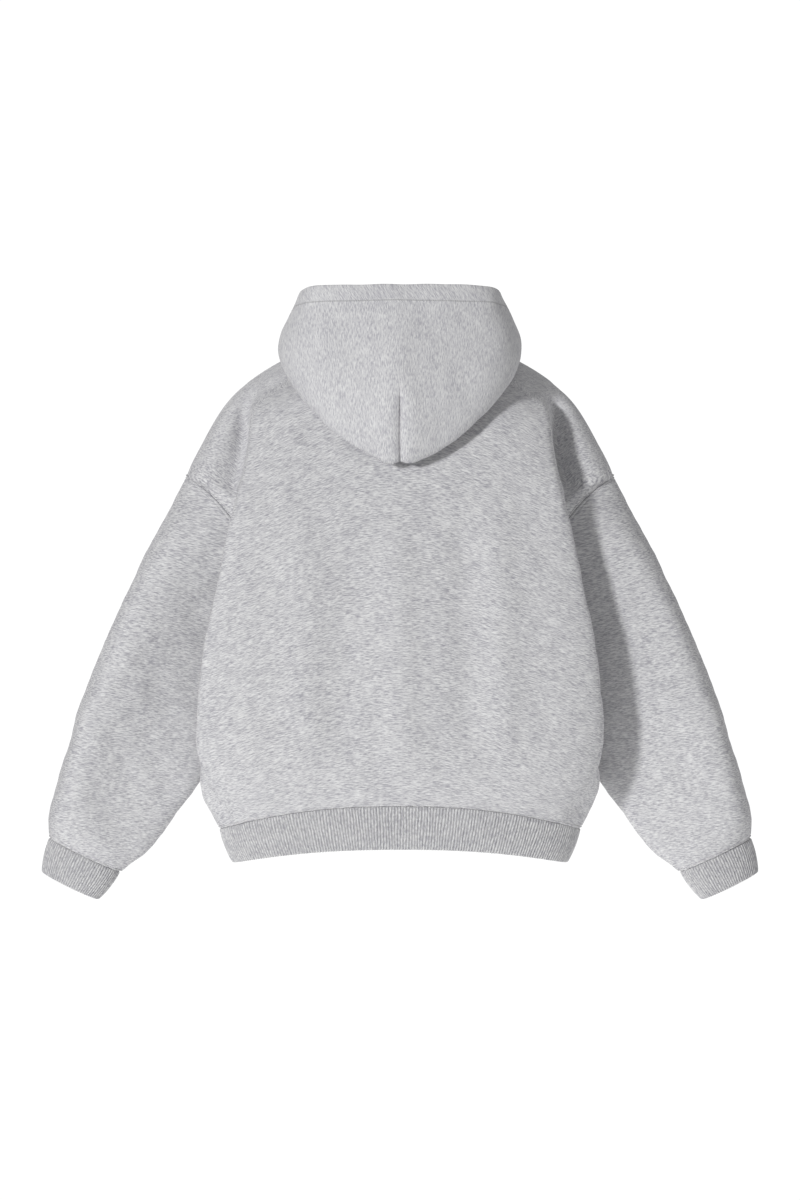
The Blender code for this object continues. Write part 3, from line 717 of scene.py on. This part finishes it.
# ---- the meshes
def rim_rows(outer, inner, beside):
    """Rows that go round a free edge, from the outer face's last row to the inner's."""
    middle = (outer + inner) / 2.0
    half = outer - middle
    out = unit(outer - beside) * np.linalg.norm(half, axis=1, keepdims=True)
    turns = [math.pi * (cut + 1) / (RIM_CUTS + 1) for cut in range(RIM_CUTS)]
    return [middle + half * math.cos(turn) + out * math.sin(turn) for turn in turns]


def new_mesh(name, points, faces):
    """A smoothly shaded mesh."""
    mesh = bpy.data.meshes.new(name)
    mesh.from_pydata(np.asarray(points).tolist(), [], faces)
    mesh.shade_smooth()
    return mesh


def placed(name, data):
    """A mesh, lamp or camera, in the scene."""
    made = bpy.data.objects.new(name, data)
    bpy.context.scene.collection.objects.link(made)
    return made


def cloth_mesh(name, outer, inner, flat, closed, round_end):
    """Mesh of a closed wall with its flat layout, in metres, as its UV map.

    The rows run up the outer face and down the inner one, so they close on
    themselves. flat gives the place on the laid-out cloth of a row and column, as
    seen from the face at a row and column.
    """
    rows, columns = outer.shape[:2]
    ring, source = list(outer), list(range(rows))
    if round_end:
        rim = rim_rows(outer[-1], inner[-1], outer[-2])
        ring, source = ring + rim, source + [rows - 1] * len(rim)
    ring += list(inner[::-1])
    source = np.array(source + list(range(rows))[::-1])
    count = len(ring)
    width = columns if closed else columns - 1
    number, column = np.divmod(np.arange(count * width), width)
    after, right = (number + 1) % count, (column + 1) % columns
    low, high = source[number], source[after]

    def corners(at_rows, at_columns, *face):
        return np.stack([np.stack(flat(at_row, at_column, *face), axis=1)
                         for at_row, at_column in zip(at_rows, at_columns)], axis=1)

    faces = [np.stack([number * columns + column, number * columns + right,
                       after * columns + right, after * columns + column], axis=1)]
    layout = [corners((low, low, high, high), (column, column + 1, column + 1, column),
                      np.minimum(low, high), column)]
    if not closed:
        row = np.arange(rows - 1)
        for side, near, step in ((0, 0, 1), (columns - 1, columns - 2, -1)):
            face = np.stack([row, count - 1 - row, count - 2 - row, row + 1], axis=1)
            faces.append((face * columns + side)[:, ::step])
            layout.append(corners((row, row, row + 1, row + 1), [np.full(rows - 1, side)] * 4,
                                  row, np.full(rows - 1, near))[:, ::step])
    mesh = new_mesh(name, np.concatenate(ring), np.concatenate(faces).tolist())
    uv = mesh.uv_layers.new(name="cloth")
    uv.data.foreach_set("uv", np.concatenate(layout).astype(np.float32).ravel())
    return mesh


def turn_outward(mesh, outer, facing):
    """Flip the faces of a wall if they look against the cloth's facing."""
    middle = (outer.shape[0] // 2, outer.shape[1] // 4)
    near = Vector(outer[middle])
    best = min(mesh.polygons, key=lambda face: (face.center - near).length_squared)
    if best.normal.dot(Vector(facing[middle])) < 0.0:
        mesh.flip_normals()


def piece_of(name, mesh, material):
    """A mesh as a piece of the garment."""
    mesh.materials.append(material)
    piece = placed(name, mesh)
    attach(piece, "root")
    return piece


def cloth_piece(node, material, outer, inner, facing, flat, closed=False, round_end=False):
    """A cloth that stands for a node."""
    name = node + "_cloth"
    mesh = cloth_mesh(name, outer, inner, flat, closed, round_end)
    turn_outward(mesh, outer, facing)
    piece = piece_of(name, mesh, material)
    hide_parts(node)
    return piece


def tube_layout(around, down):
    """Flat layout of a tube, cut half way round, from the ways round it and down it."""
    middle = (around.shape[1] - 1) // 2
    whole = around[:, -1] - around[:, 0]

    def flat(row, column, face_row, face_column):
        turn = np.where(face_column >= middle, whole[row], 0.0)
        return (around[row, column] - turn, down[row, column])

    return flat


def offset_line(grid, facing, distance=STITCH_LINE):
    """Points and facings of the line this far from a grid's first row."""
    ways = spans(grid, 0).T
    points, facings = (
        np.array([read_at(distance, way, line) for way, line in zip(ways, part)])
        for part in (turned(grid), turned(facing)))
    return points, unit(facings)


def stitches(name, lines, closed=False):
    """Rows of short threads laid along lines of points with their facings."""
    points, faces = [], []
    for line, facing in lines:
        if closed:
            line, facing = (np.concatenate([part, part[:1]]) for part in (line, facing))
        way = line_ways(line)
        count = int(way[-1] / STITCH_PITCH)
        pitch = way[-1] / count
        for number in range(count):
            start = (number + (1.0 - STITCH_SHARE) / 2.0) * pitch
            first = len(points)
            for share, radius, lift in STITCH_RINGS:
                at = start + share * STITCH_SHARE * pitch
                place = read_at(at, way, line)
                ahead = read_at(at + LOOK_AHEAD, way, line)
                if at + LOOK_AHEAD > way[-1]:
                    ahead = 2.0 * place - read_at(at - LOOK_AHEAD, way, line)
                up = unit(read_at(at, way, facing))
                aside = unit(np.cross(up, ahead - place))
                for side in range(THREAD_SIDES):
                    turn = TURN * side / THREAD_SIDES
                    points.append(place + up * THREAD * (lift + radius * math.sin(turn))
                                  + aside * THREAD * radius * math.cos(turn))
            last = first + (len(STITCH_RINGS) - 1) * THREAD_SIDES
            for ring in range(first, last, THREAD_SIDES):
                for side in range(THREAD_SIDES):
                    after = (side + 1) % THREAD_SIDES
                    faces.append((ring + side, ring + after, ring + THREAD_SIDES + after,
                                  ring + THREAD_SIDES + side))
            faces.append(tuple(range(first + THREAD_SIDES - 1, first - 1, -1)))
            faces.append(tuple(range(last, last + THREAD_SIDES)))
    return piece_of(name, new_mesh(name, points, faces), thread)


# ---- the materials
def grey(value, blue=0.0):
    """A linear grey, a little violet."""
    return (value, value * (1.0 - 0.15 * blue), value * (1.0 + blue), 1.0)


# dark, middle, light
FLEECE_TONES = (grey(0.35, 0.09), grey(0.575, 0.02), grey(0.75))
HOOD_TONES = (grey(0.42, 0.08), grey(0.595, 0.02), grey(0.74))
RIB_TONES = (grey(0.40, 0.06), grey(0.56, 0.015), grey(0.68))
TONE_PLACES = (0.39, 0.50, 0.61)
# Painted shade: the cloth's colour is darkened towards this grey in the grooves of stitches and
# ribs, where shade falls
PAINTED_GROOVE_SHADE = grey(0.20, 0.05)
GROOVE_SHADE_SHARE = 0.48       # share of that painted shade at the bottom of a groove
STITCH_SHADE_HALF_WIDTH = 0.0016    # half width of the painted shade along the groove that a row of stitches pulls in
LONG_SHARE, SHORT_SHARE, PATCH_SHARE = 0.42, 0.46, 0.12
DRIFT_SIZE = (0.060, 0.040)
DRIFT_WAY = (0.006, 0.005, 0.0)
NAP_SIZE = (0.0011, 0.0009)
FIBRE_HEIGHT, NAP_HEIGHT = 1.4, 0.5
BUMP_DEPTH = 0.0006


def feed(node, *in_order, **named):
    """Give a node's inputs their values, or the outputs of other nodes that they follow."""
    pairs = list(zip(node.inputs, in_order))
    pairs += [(node.inputs[name.replace("_", " ")], source) for name, source in named.items()]
    for socket, source in pairs:
        if isinstance(source, bpy.types.NodeSocket):
            node.id_data.links.new(source, socket)
        else:
            socket.default_value = source
    return node


def painted(name, **look):
    """A new material and its shader."""
    material = bpy.data.materials.new(name)
    material.use_nodes = True
    return material, feed(material.node_tree.nodes["Principled BSDF"], **look)


def heather(name, tones, streak, speck, patch, strength, stitched_at=None, pitch=None):
    """Heather cloth: light and dark fibres drawn out along the courses of the knit.

    streak and speck are the length along the U axis and width of the long and short
    fibres, and patch the size of lighter places, in metres. stitched_at is the U of
    a row of stitches, and pitch the distance between the ribs; along that row and in
    the ribs' grooves the colour is darkened, which is painted shade.
    """
    material, shader = painted(name, Roughness=0.92, Specular_IOR_Level=0.25,
                               Sheen_Weight=0.12, Sheen_Roughness=0.6)
    nodes = material.node_tree.nodes

    def add(kind, *in_order, **named):
        return feed(nodes.new("ShaderNode" + kind), *in_order, **named)

    def noise(size, detail, roughness, source, distortion=0.0):
        place = add("Mapping", Vector=source, Scale=(1.0 / size[0], 1.0 / size[1], 1.0))
        grain = add("TexNoise", Vector=place.outputs["Vector"], Scale=1.0, Detail=detail,
                    Roughness=roughness, Distortion=distortion)
        grain.noise_dimensions = "2D"
        return grain.outputs

    def blend(kind, first, second=0.0):
        node = add("Math", first, second)
        node.operation = kind
        return node.outputs["Value"]

    cloth = nodes.new("ShaderNodeUVMap")
    cloth.uv_map = "cloth"
    flat = cloth.outputs["UV"]

    # The courses wander a little
    shift = nodes.new("ShaderNodeVectorMath")
    shift.operation = "MULTIPLY_ADD"
    feed(shift, noise(DRIFT_SIZE, 2.0, 0.5, flat)["Color"], DRIFT_WAY, flat)
    place = shift.outputs["Vector"]

    fibres = blend("MULTIPLY", noise(streak, 2.0, 0.6, place, 0.1)["Fac"], LONG_SHARE)
    for grain, share in ((noise(speck, 2.0, 0.6, place, 0.1), SHORT_SHARE),
                         (noise((patch, patch * 0.4), 3.0, 0.6, place), PATCH_SHARE)):
        fibres = blend("ADD", fibres, blend("MULTIPLY", grain["Fac"], share))
    ramp = add("ValToRGB", Fac=fibres)
    ramp.color_ramp.elements.new(TONE_PLACES[1])
    for stop, at, tone in zip(ramp.color_ramp.elements, TONE_PLACES, tones):
        stop.position = at
        stop.color = tone

    # Painted shade: the colour is darkened towards a dark grey along the row of stitches and in
    # the grooves between the ribs
    shade = nodes.new("ShaderNodeMix")
    shade.data_type = "RGBA"
    feed(shade, Factor=0.0, A=ramp.outputs["Color"], B=PAINTED_GROOVE_SHADE)
    along = add("SeparateXYZ", Vector=flat).outputs["X"]
    if stitched_at is not None:
        depth = blend("ABSOLUTE", blend("SUBTRACT", along, stitched_at))
        edge, bottom = STITCH_SHADE_HALF_WIDTH, 0.0
    if pitch is not None:
        depth = blend("SINE", blend("MULTIPLY", along, TURN / pitch))
        edge, bottom = RIB_GROOVE_SHADE
    # the mask of that painted shade, 1 at the bottom of a groove
    if stitched_at is not None or pitch is not None:
        groove_shade = add("MapRange", Value=depth, From_Min=edge, From_Max=bottom)
        groove_shade.interpolation_type = "SMOOTHSTEP"
        feed(shade, Factor=blend("MULTIPLY", groove_shade.outputs["Result"], GROOVE_SHADE_SHARE))

    nap = noise(NAP_SIZE, 3.0, 0.7, flat)
    height = blend("ADD", blend("MULTIPLY", fibres, FIBRE_HEIGHT),
                   blend("MULTIPLY", nap["Fac"], NAP_HEIGHT))
    bump = add("Bump", Strength=strength, Distance=BUMP_DEPTH, Height=height)
    feed(shader, Base_Color=shade.outputs["Result"], Normal=bump.outputs["Normal"])
    return material


fleece = heather("fleece", FLEECE_TONES, (0.0135, 0.0013), (0.0065, 0.0009), 0.040, 0.25)
# Painted shade darkens the hood's colour along the row of stitches round the face
hood_fleece = heather("hood_fleece", HOOD_TONES, (0.0100, 0.0013), (0.0055, 0.0009), 0.040, 0.25,
                      stitched_at=FACE_HEM_WIDTH)
# Painted shade darkens the rib knit's colour in the grooves between its ribs
rib_knit = heather("rib_knit", RIB_TONES, (0.0030, 0.0080), (0.0018, 0.0040), 0.050, 0.30,
                   pitch=RIB_PITCH)
thread = painted("thread", Base_Color=grey(0.56), Roughness=0.75)[0]


# ---- the body
def panel_layout(grid, row_places, half_columns):
    """Flat layout of a panel: the courses run across it, and down along the shoulder."""
    middle = grid.shape[1] // 2
    across = from_middle(grid)
    up = spans(grid, 0) + DROOP * np.hypot(across, DROOP_START)
    cap_start = int(np.searchsorted(half_columns, VALLEY - 0.01))
    cap_rows = np.searchsorted(row_places, CAP_ROWS)

    def flat(row, column, face_row, face_column):
        u, v = across[row, column], up[row, column]
        outside = np.where(face_column >= middle, face_column - middle, middle - 1 - face_column)
        in_cap = (outside >= cap_start) & (face_row >= cap_rows[0]) & (face_row < cap_rows[1])
        turn = np.where(face_column >= middle, -CAP_TURN, CAP_TURN) * in_cap
        return (u * np.cos(turn) - v * np.sin(turn), u * np.sin(turn) + v * np.cos(turn))

    return flat


def armhole_rows(row_places):
    """The panels' rows that meet a sleeve."""
    return np.flatnonzero((row_places >= UNDERARM) & (row_places <= SHOULDER))


def join_edges(row_places, facing, sleeve_line, sleeve_angles):
    """Give both panels, and the sleeve's first row, one facing along the seams they share."""
    rows = armhole_rows(row_places)
    row_angles = math.pi * (SHOULDER - row_places[rows]) / (SHOULDER - UNDERARM)
    edges = [facing[side][:, -1] for side in (BACK, FRONT)]
    for row in set(range(len(row_places))) - set(rows):
        edges[0][row] = edges[1][row] = unit(edges[0][row] + edges[1][row])
    turns = (row_angles, TURN - row_angles)
    sleeve_turns = np.append(sleeve_angles, TURN)
    sleeve_ring = np.concatenate([sleeve_line, sleeve_line[:1]])
    for edge, edge_turns in zip(edges, turns):
        for row, turn in zip(rows, edge_turns):
            edge[row] = unit(edge[row] + read_at(turn, sleeve_turns, sleeve_ring))
    own = np.concatenate([edge[rows] for edge in edges])
    own_turns = np.concatenate(turns)
    order = np.argsort(own_turns)
    for column, turn in enumerate(sleeve_angles):
        sleeve_line[column] = unit(read_at(turn, own_turns[order], own[order], period=TURN))
    for side in (BACK, FRONT):
        facing[side][:, 0] = mirrored(facing[side][:, -1])


def build_panel(node, side, folds, creases, grid, out, row_places, half_columns):
    """A panel. Returns the lines of its stitches, at the hem and at both armholes."""
    spread = both_ways(half_columns) / half_columns[-1]
    out[-1] = [neck_facing(neck_angle(side, share)) for share in spread]
    out[0] = [ring_facing(hem_seam, UP, hem_angle(side, point)) for point in grid[0]]
    height = panel_folds(grid, folds) + ridges(grid[..., 0], grid[..., 2], creases)
    grid += out * height[..., None]
    out[1:-1, 1:-1] = outward(grid, side)[1:-1, 1:-1]
    for view, faced in ((grid, out), (turned(grid), turned(out))):
        retreat(view, faced)
        retreat(view[::-1], faced[::-1])

    from_hem, from_neck = from_ends(grid, 0)
    from_right, from_left = from_ends(grid, 1)
    stitched = np.interp(row_places, (UNDERARM - 0.3, UNDERARM, SHOULDER, SHOULDER + 0.3),
                         (0.0, 1.0, 1.0, 0.0))[:, None]
    relief = seam_profile(from_hem, bead=RIB_BEAD) + seam_profile(from_neck, stitched=0.0)
    for away in (from_right, from_left):
        relief += seam_profile(away, stitched=stitched)
        relief += puckers(from_hem, away, ARMHOLE_GATHERS, side) * stitched
    relief += puckers(grid[..., 0], from_hem, HEM_GATHERS, side)
    inside = clear_of(from_right, from_left) * clear_of(from_hem, from_neck)
    relief += unevenness(grid, BODY_WAVES, side) * inside
    outer = grid + out * relief[..., None]
    flat = panel_layout(grid, row_places, half_columns)
    panels[node] = cloth_piece(node, fleece, outer, grid - out * FLEECE, out, flat)
    rows = armhole_rows(row_places)
    armholes = [[part[rows] for part in offset_line(turned(outer)[::step], turned(out)[::step])]
                for step in (-1, 1)]
    return offset_line(outer, out), armholes


def build_sleeve(hand, creases, grid, out, armhole_lines):
    """A sleeve, with the stitches of its armhole, in both panels, and of its two ends."""
    looped_around, down = spans(looped(grid), 1), spans(looped(grid), 0)
    around, whole = looped_around[:, :-1], looped_around[:, -1:]
    arc = np.where(around > whole / 2.0, around - whole, around)
    grid += out * ridges(arc, down[:, :-1], creases)[..., None]
    out[1:-1] = outward(grid, closed=True)[1:-1]
    retreat(grid, out, closed=True)
    retreat(grid[::-1], out[::-1], closed=True)

    from_arm, from_cuff = from_ends(grid, 0)
    inside = clear_of(from_arm, from_cuff)
    underarm = np.abs(np.abs(arc) - whole / 2.0)
    relief = seam_profile(from_arm) + seam_profile(from_cuff, bead=RIB_BEAD)
    relief += puckers(around, from_arm, CAP_GATHERS) + puckers(around, from_cuff, WRIST_GATHERS)
    relief += unevenness(grid, SLEEVE_WAVES) * inside
    relief -= SEAM_DIP * swell(underarm, SEAM_DIP_WIDTH) * inside
    outer = grid + out * relief[..., None]
    if hand == "right":
        grid, outer, out = (mirrored(part) for part in (grid, outer, out))

    # the courses lie more level than the sleeve's sections
    fall = grid[0, :, 2].mean() - looped(grid)[..., 2]
    courses = down.mean(axis=1, keepdims=True) * (1.0 - LEVEL_COURSES) + fall * LEVEL_COURSES
    node = "sleeve_" + hand
    panels[node] = cloth_piece(node, fleece, outer, grid - out * FLEECE, out,
                               tube_layout(looped_around, courses), closed=True)
    rings = [offset_line(outer, out), offset_line(outer[::-1], out[::-1])]
    trims[node] = [stitches("armhole_stitches_" + hand, armhole_lines),
                   stitches("sleeve_stitches_" + hand, rings, closed=True)]


def build_body_and_sleeves():
    """The two panels, the sleeves and their rows of stitches."""
    half = body_columns(BACK)
    row_places = net_places(half, 0, close_start=True, close_end=True)
    half_columns = net_places(half, 1, close_end=True)
    grids = {side: body_grid(side, row_places, half_columns) for side in (BACK, FRONT)}
    facing = {side: outward(grids[side], side) for side in (BACK, FRONT)}

    sections = sleeve_grid(SLEEVE_SECTIONS, np.arange(24) * TURN / 24)
    down_places = net_places(sections, 0, close_start=True, close_end=True)
    angles = np.arange(SLEEVE_COLUMNS) * TURN / SLEEVE_COLUMNS
    sleeve = sleeve_grid(spline(SLEEVE_SECTIONS, down_places), angles)
    sleeve_facing = outward(sleeve, closed=True)
    sleeve_facing[-1] = [ring_facing(cuff_seam, cuff_axis(), angle) for angle in angles]
    join_edges(row_places, facing, sleeve_facing[0], angles)

    hem_lines, armhole_lines = [], []
    for node, side, folds, creases in (("back_panel", BACK, BACK_FOLDS, BACK_CREASES),
                                       ("front_panel", FRONT, FRONT_FOLDS, FRONT_CREASES)):
        hem_line, armholes = build_panel(node, side, folds, creases, grids[side], facing[side],
                                         row_places, half_columns)
        hem_lines.append(hem_line)
        armhole_lines.append(armholes)
    left_lines, right_lines = zip(*armhole_lines)
    build_sleeve("left", LEFT_SLEEVE_CREASES, sleeve.copy(), sleeve_facing.copy(), left_lines)
    build_sleeve("right", RIGHT_SLEEVE_CREASES, sleeve, sleeve_facing, right_lines)
    trims["back_panel"] = [stitches("hem_stitches", hem_lines)]


# ---- the ribs
def ring_line(ring, axis, count):
    """Points and facings that part a ring, a function of angle, into equal lengths."""
    fine = np.linspace(0.0, TURN, 1441)
    way = line_ways(np.array([ring(angle) for angle in fine]))
    angles = np.interp(np.arange(count) * way[-1] / count, way, fine)
    return (np.array([ring(angle) for angle in angles]),
            np.array([ring_facing(ring, axis, angle) for angle in angles]))


def rib_cloth(node, rings, axis, ribs, mirror=False):
    """A rib tube between two rings, functions of angle, with a folded free edge."""
    columns = ribs * RIB_CUTS
    (top, top_facing), (edge, edge_facing) = (ring_line(ring, axis, columns) for ring in rings)
    depth = np.linalg.norm(edge - top, axis=1).mean()
    # close rows at the seam, then even ones to the free edge
    ways = [0.0] + [way for way in SEAM_LADDER if way < 0.006]
    ways += list(np.linspace(ways[-1], depth, round(depth / RIB_ROW_STEP))[1:])
    share = (np.array(ways) / depth)[:, None]
    grid = top * (1.0 - share[..., None]) + edge * share[..., None]
    out = unit(top_facing * (1.0 - share[..., None]) + edge_facing * share[..., None])
    away = share * depth
    belly = RIB_BELLY * np.sin(math.pi * np.clip(share, 0.0, 1.0)) ** 0.8
    # no two ribs are quite the same
    number = np.arange(columns) / RIB_CUTS
    wobble = 0.10 * np.sin(TURN * (number / 8.0 + share * 0.9))
    phase = TURN * (number + wobble)
    rib = np.sin(phase) + 0.18 * np.sin(2.0 * phase + 0.6)
    firm = 0.85 + 0.15 * np.sin(number * 1.7 + 3.0 * share)
    relief = RIB_RELIEF * rib * firm * np.clip(away / 0.0025 + 0.25, 0.0, 1.0)
    relief -= RIB_SEAM_DIP * swell(away, RIB_SEAM_WIDTH)
    relief += puckers(spans(looped(grid), 1)[:, :-1], away, RIB_GATHERS)
    outer = grid + out * (belly + relief)[..., None]
    inner = grid + out * (belly - RIB)[..., None]
    if mirror:
        outer, inner, out = (mirrored(part) for part in (outer, inner, out))
    place = (number + wobble) * RIB_PITCH
    place = np.concatenate([place, place[:, :1] + ribs * RIB_PITCH], axis=1)
    flat = tube_layout(place, np.broadcast_to(away, place.shape))
    return cloth_piece(node, rib_knit, outer, inner, out, flat, closed=True,
                       round_end=True)


def build_ribs():
    """The hem band and the cuffs."""
    def hem_top(angle):
        return np.array(hem_seam(angle)) - (0.0, 0.0, SEAM_GAP / 2.0)

    def hem_edge(angle):
        return np.array(hem_ring(HEM_EDGE, angle))

    axis = cuff_axis()
    section = CUFF_EDGE + (SLEEVE_SECTIONS[-1][4], CUFF_DEPTH_EDGE, CUFF_DEPTH_EDGE, 0.0, 0.0)

    def cuff_top(angle):
        return cuff_seam(angle) + axis * SEAM_GAP / 2.0

    def cuff_edge(angle):
        return sleeve_grid([section], [angle])[0, 0]

    panels["hem_rib"] = rib_cloth("hem_rib", (hem_top, hem_edge), UP, HEM_RIBS)
    for node, mirror in (("cuff_left", False), ("cuff_right", True)):
        panels[node] = rib_cloth(node, (cuff_top, cuff_edge), axis, CUFF_RIBS, mirror)


# ---- the hood
def build_hood():
    """The hood with its crown dart and the turned hem round the face."""
    net = hood_net()
    middle_knot = len(HOOD_STATIONS) - 1
    half_columns = net_places(net[:, middle_knot:], 1, close_start=True)
    row_places = net_places(net, 0, close_start=True)
    grid = surface(net, row_places, middle_knot + both_ways(half_columns))
    angles = np.radians(spline(HOOD_ANGLES, half_columns))
    snap_edge(turned(grid), both_halves(np.array([neckline(angle) for angle in angles])))
    out = outward(grid)
    out[0] = both_halves(np.array([neck_facing(angle) for angle in angles]))

    across = from_middle(grid)
    aside = np.abs(across)
    outside = smooth(HOOD_FOLD_ROW - 0.6, HOOD_FOLD_ROW + 0.1, row_places)[:, None]
    up = grid[..., 2]
    # the dart's hollow fades out at its top, and a ridge goes on above it
    dart = smooth(DART_TOP + 0.004, DART_TOP - 0.016, up) * outside
    keel = smooth(DART_TOP - 0.020, DART_TOP + 0.010, up) * smooth(0.045, 0.0, up) * outside
    height = sum(rise * swell(aside - at, half_width) for rise, at, half_width in DART_SHAPE)
    height = height * dart + KEEL_RISE * swell(aside, KEEL_WIDTH) * keel
    grid += out * height[..., None]
    out[1:] = outward(grid)[1:]
    retreat(grid, out)

    from_neck, from_edge = from_ends(grid, 0)
    off_hem = from_edge - FACE_HEM_WIDTH
    band = smooth(0.002, -0.001, off_hem)
    inner = grid - out * (FLEECE + (FACE_HEM - FLEECE) * band)[..., None]
    relief = seam_profile(from_neck, stitched=0.0) + BAND_RISE * band
    relief -= DART_SEAM_DIP * swell(aside, DART_SEAM_WIDTH) * dart
    relief -= HEM_STITCH_DIP * swell(off_hem, HEM_STITCH_WIDTH)
    relief += puckers(across, np.abs(off_hem), FACE_GATHERS)
    relief += unevenness(grid, HOOD_WAVES) * clear_of(from_neck)
    outer = grid + out * relief[..., None]
    band_row = int(np.argmin(np.abs(off_hem[:, grid.shape[1] // 2])))

    def flat(row, column, face_row, face_column):
        along = from_edge[row, column]
        lean = np.where(face_row >= band_row, BAND_LEAN, 0.0)
        return (along, across[row, column] + lean * (along - FACE_HEM_WIDTH))

    panels["hood"] = cloth_piece("hood", hood_fleece, outer, inner, out, flat,
                                 round_end=True)
    line = offset_line(outer[::-1], out[::-1], FACE_HEM_WIDTH)
    trims["hood"] = [stitches("hood_hem_stitches", [line])]


# ---- the light
def aim(made, place, target):
    """Place an object so that its -Z axis looks at a target."""
    made.location = place
    made.rotation_mode = "QUATERNION"
    made.rotation_quaternion = (Vector(target) - Vector(place)).to_track_quat("-Z", "Y")


def camera():
    """The photograph's view: level, from behind, with a long lens."""
    lens = bpy.data.cameras.new("camera")
    lens.lens = LENS_MM
    lens.sensor_width = SENSOR_MM
    made = placed("camera", lens)
    x, y, z = CAMERA_PLACE
    aim(made, CAMERA_PLACE, (x, y - 1.0, z))
    bpy.context.scene.camera = made


def softbox(name, left, up, distance, size, power):
    """A square soft light, aimed at the middle of the garment."""
    lamp = bpy.data.lights.new(name, "AREA")
    lamp.size = size
    lamp.energy = power
    turn, rise = math.radians(left), math.radians(up)
    way = (math.sin(turn) * math.cos(rise), math.cos(turn) * math.cos(rise), math.sin(rise))
    place = [middle + distance * part for middle, part in zip(MIDDLE, way)]
    aim(placed(name, lamp), place, MIDDLE)


def stage():
    """A pale floor, far below the hem, and a white surround."""
    turns = [TURN * side / FLOOR_SIDES for side in range(FLOOR_SIDES)]
    corners = [(FLOOR_RADIUS * math.cos(turn), FLOOR_RADIUS * math.sin(turn), FLOOR_Z)
               for turn in turns]
    mesh = new_mesh("floor", corners, [tuple(range(FLOOR_SIDES))])
    mesh.materials.append(painted("floor", Base_Color=FLOOR_COLOR, Roughness=0.9,
                                  Emission_Color=WHITE, Emission_Strength=0.55)[0])
    placed("floor", mesh)
    world = bpy.data.worlds.new("surround")
    world.use_nodes = True
    nodes = world.node_tree.nodes
    # white behind the object, and a dimmer light from all round on it
    seen = nodes.new("ShaderNodeLightPath").outputs["Is Camera Ray"]
    level = feed(nodes.new("ShaderNodeMapRange"), Value=seen, To_Min=AMBIENT, To_Max=BACKGROUND)
    feed(nodes["Background"], Color=WHITE, Strength=level.outputs["Result"])
    bpy.context.scene.world = world


camera()
stage()
bpy.context.scene.view_settings.view_transform = "Standard"
for light in LIGHTS:
    softbox(*light)

panels, trims = {}, {}
build_body_and_sleeves()
build_ribs()
build_hood()
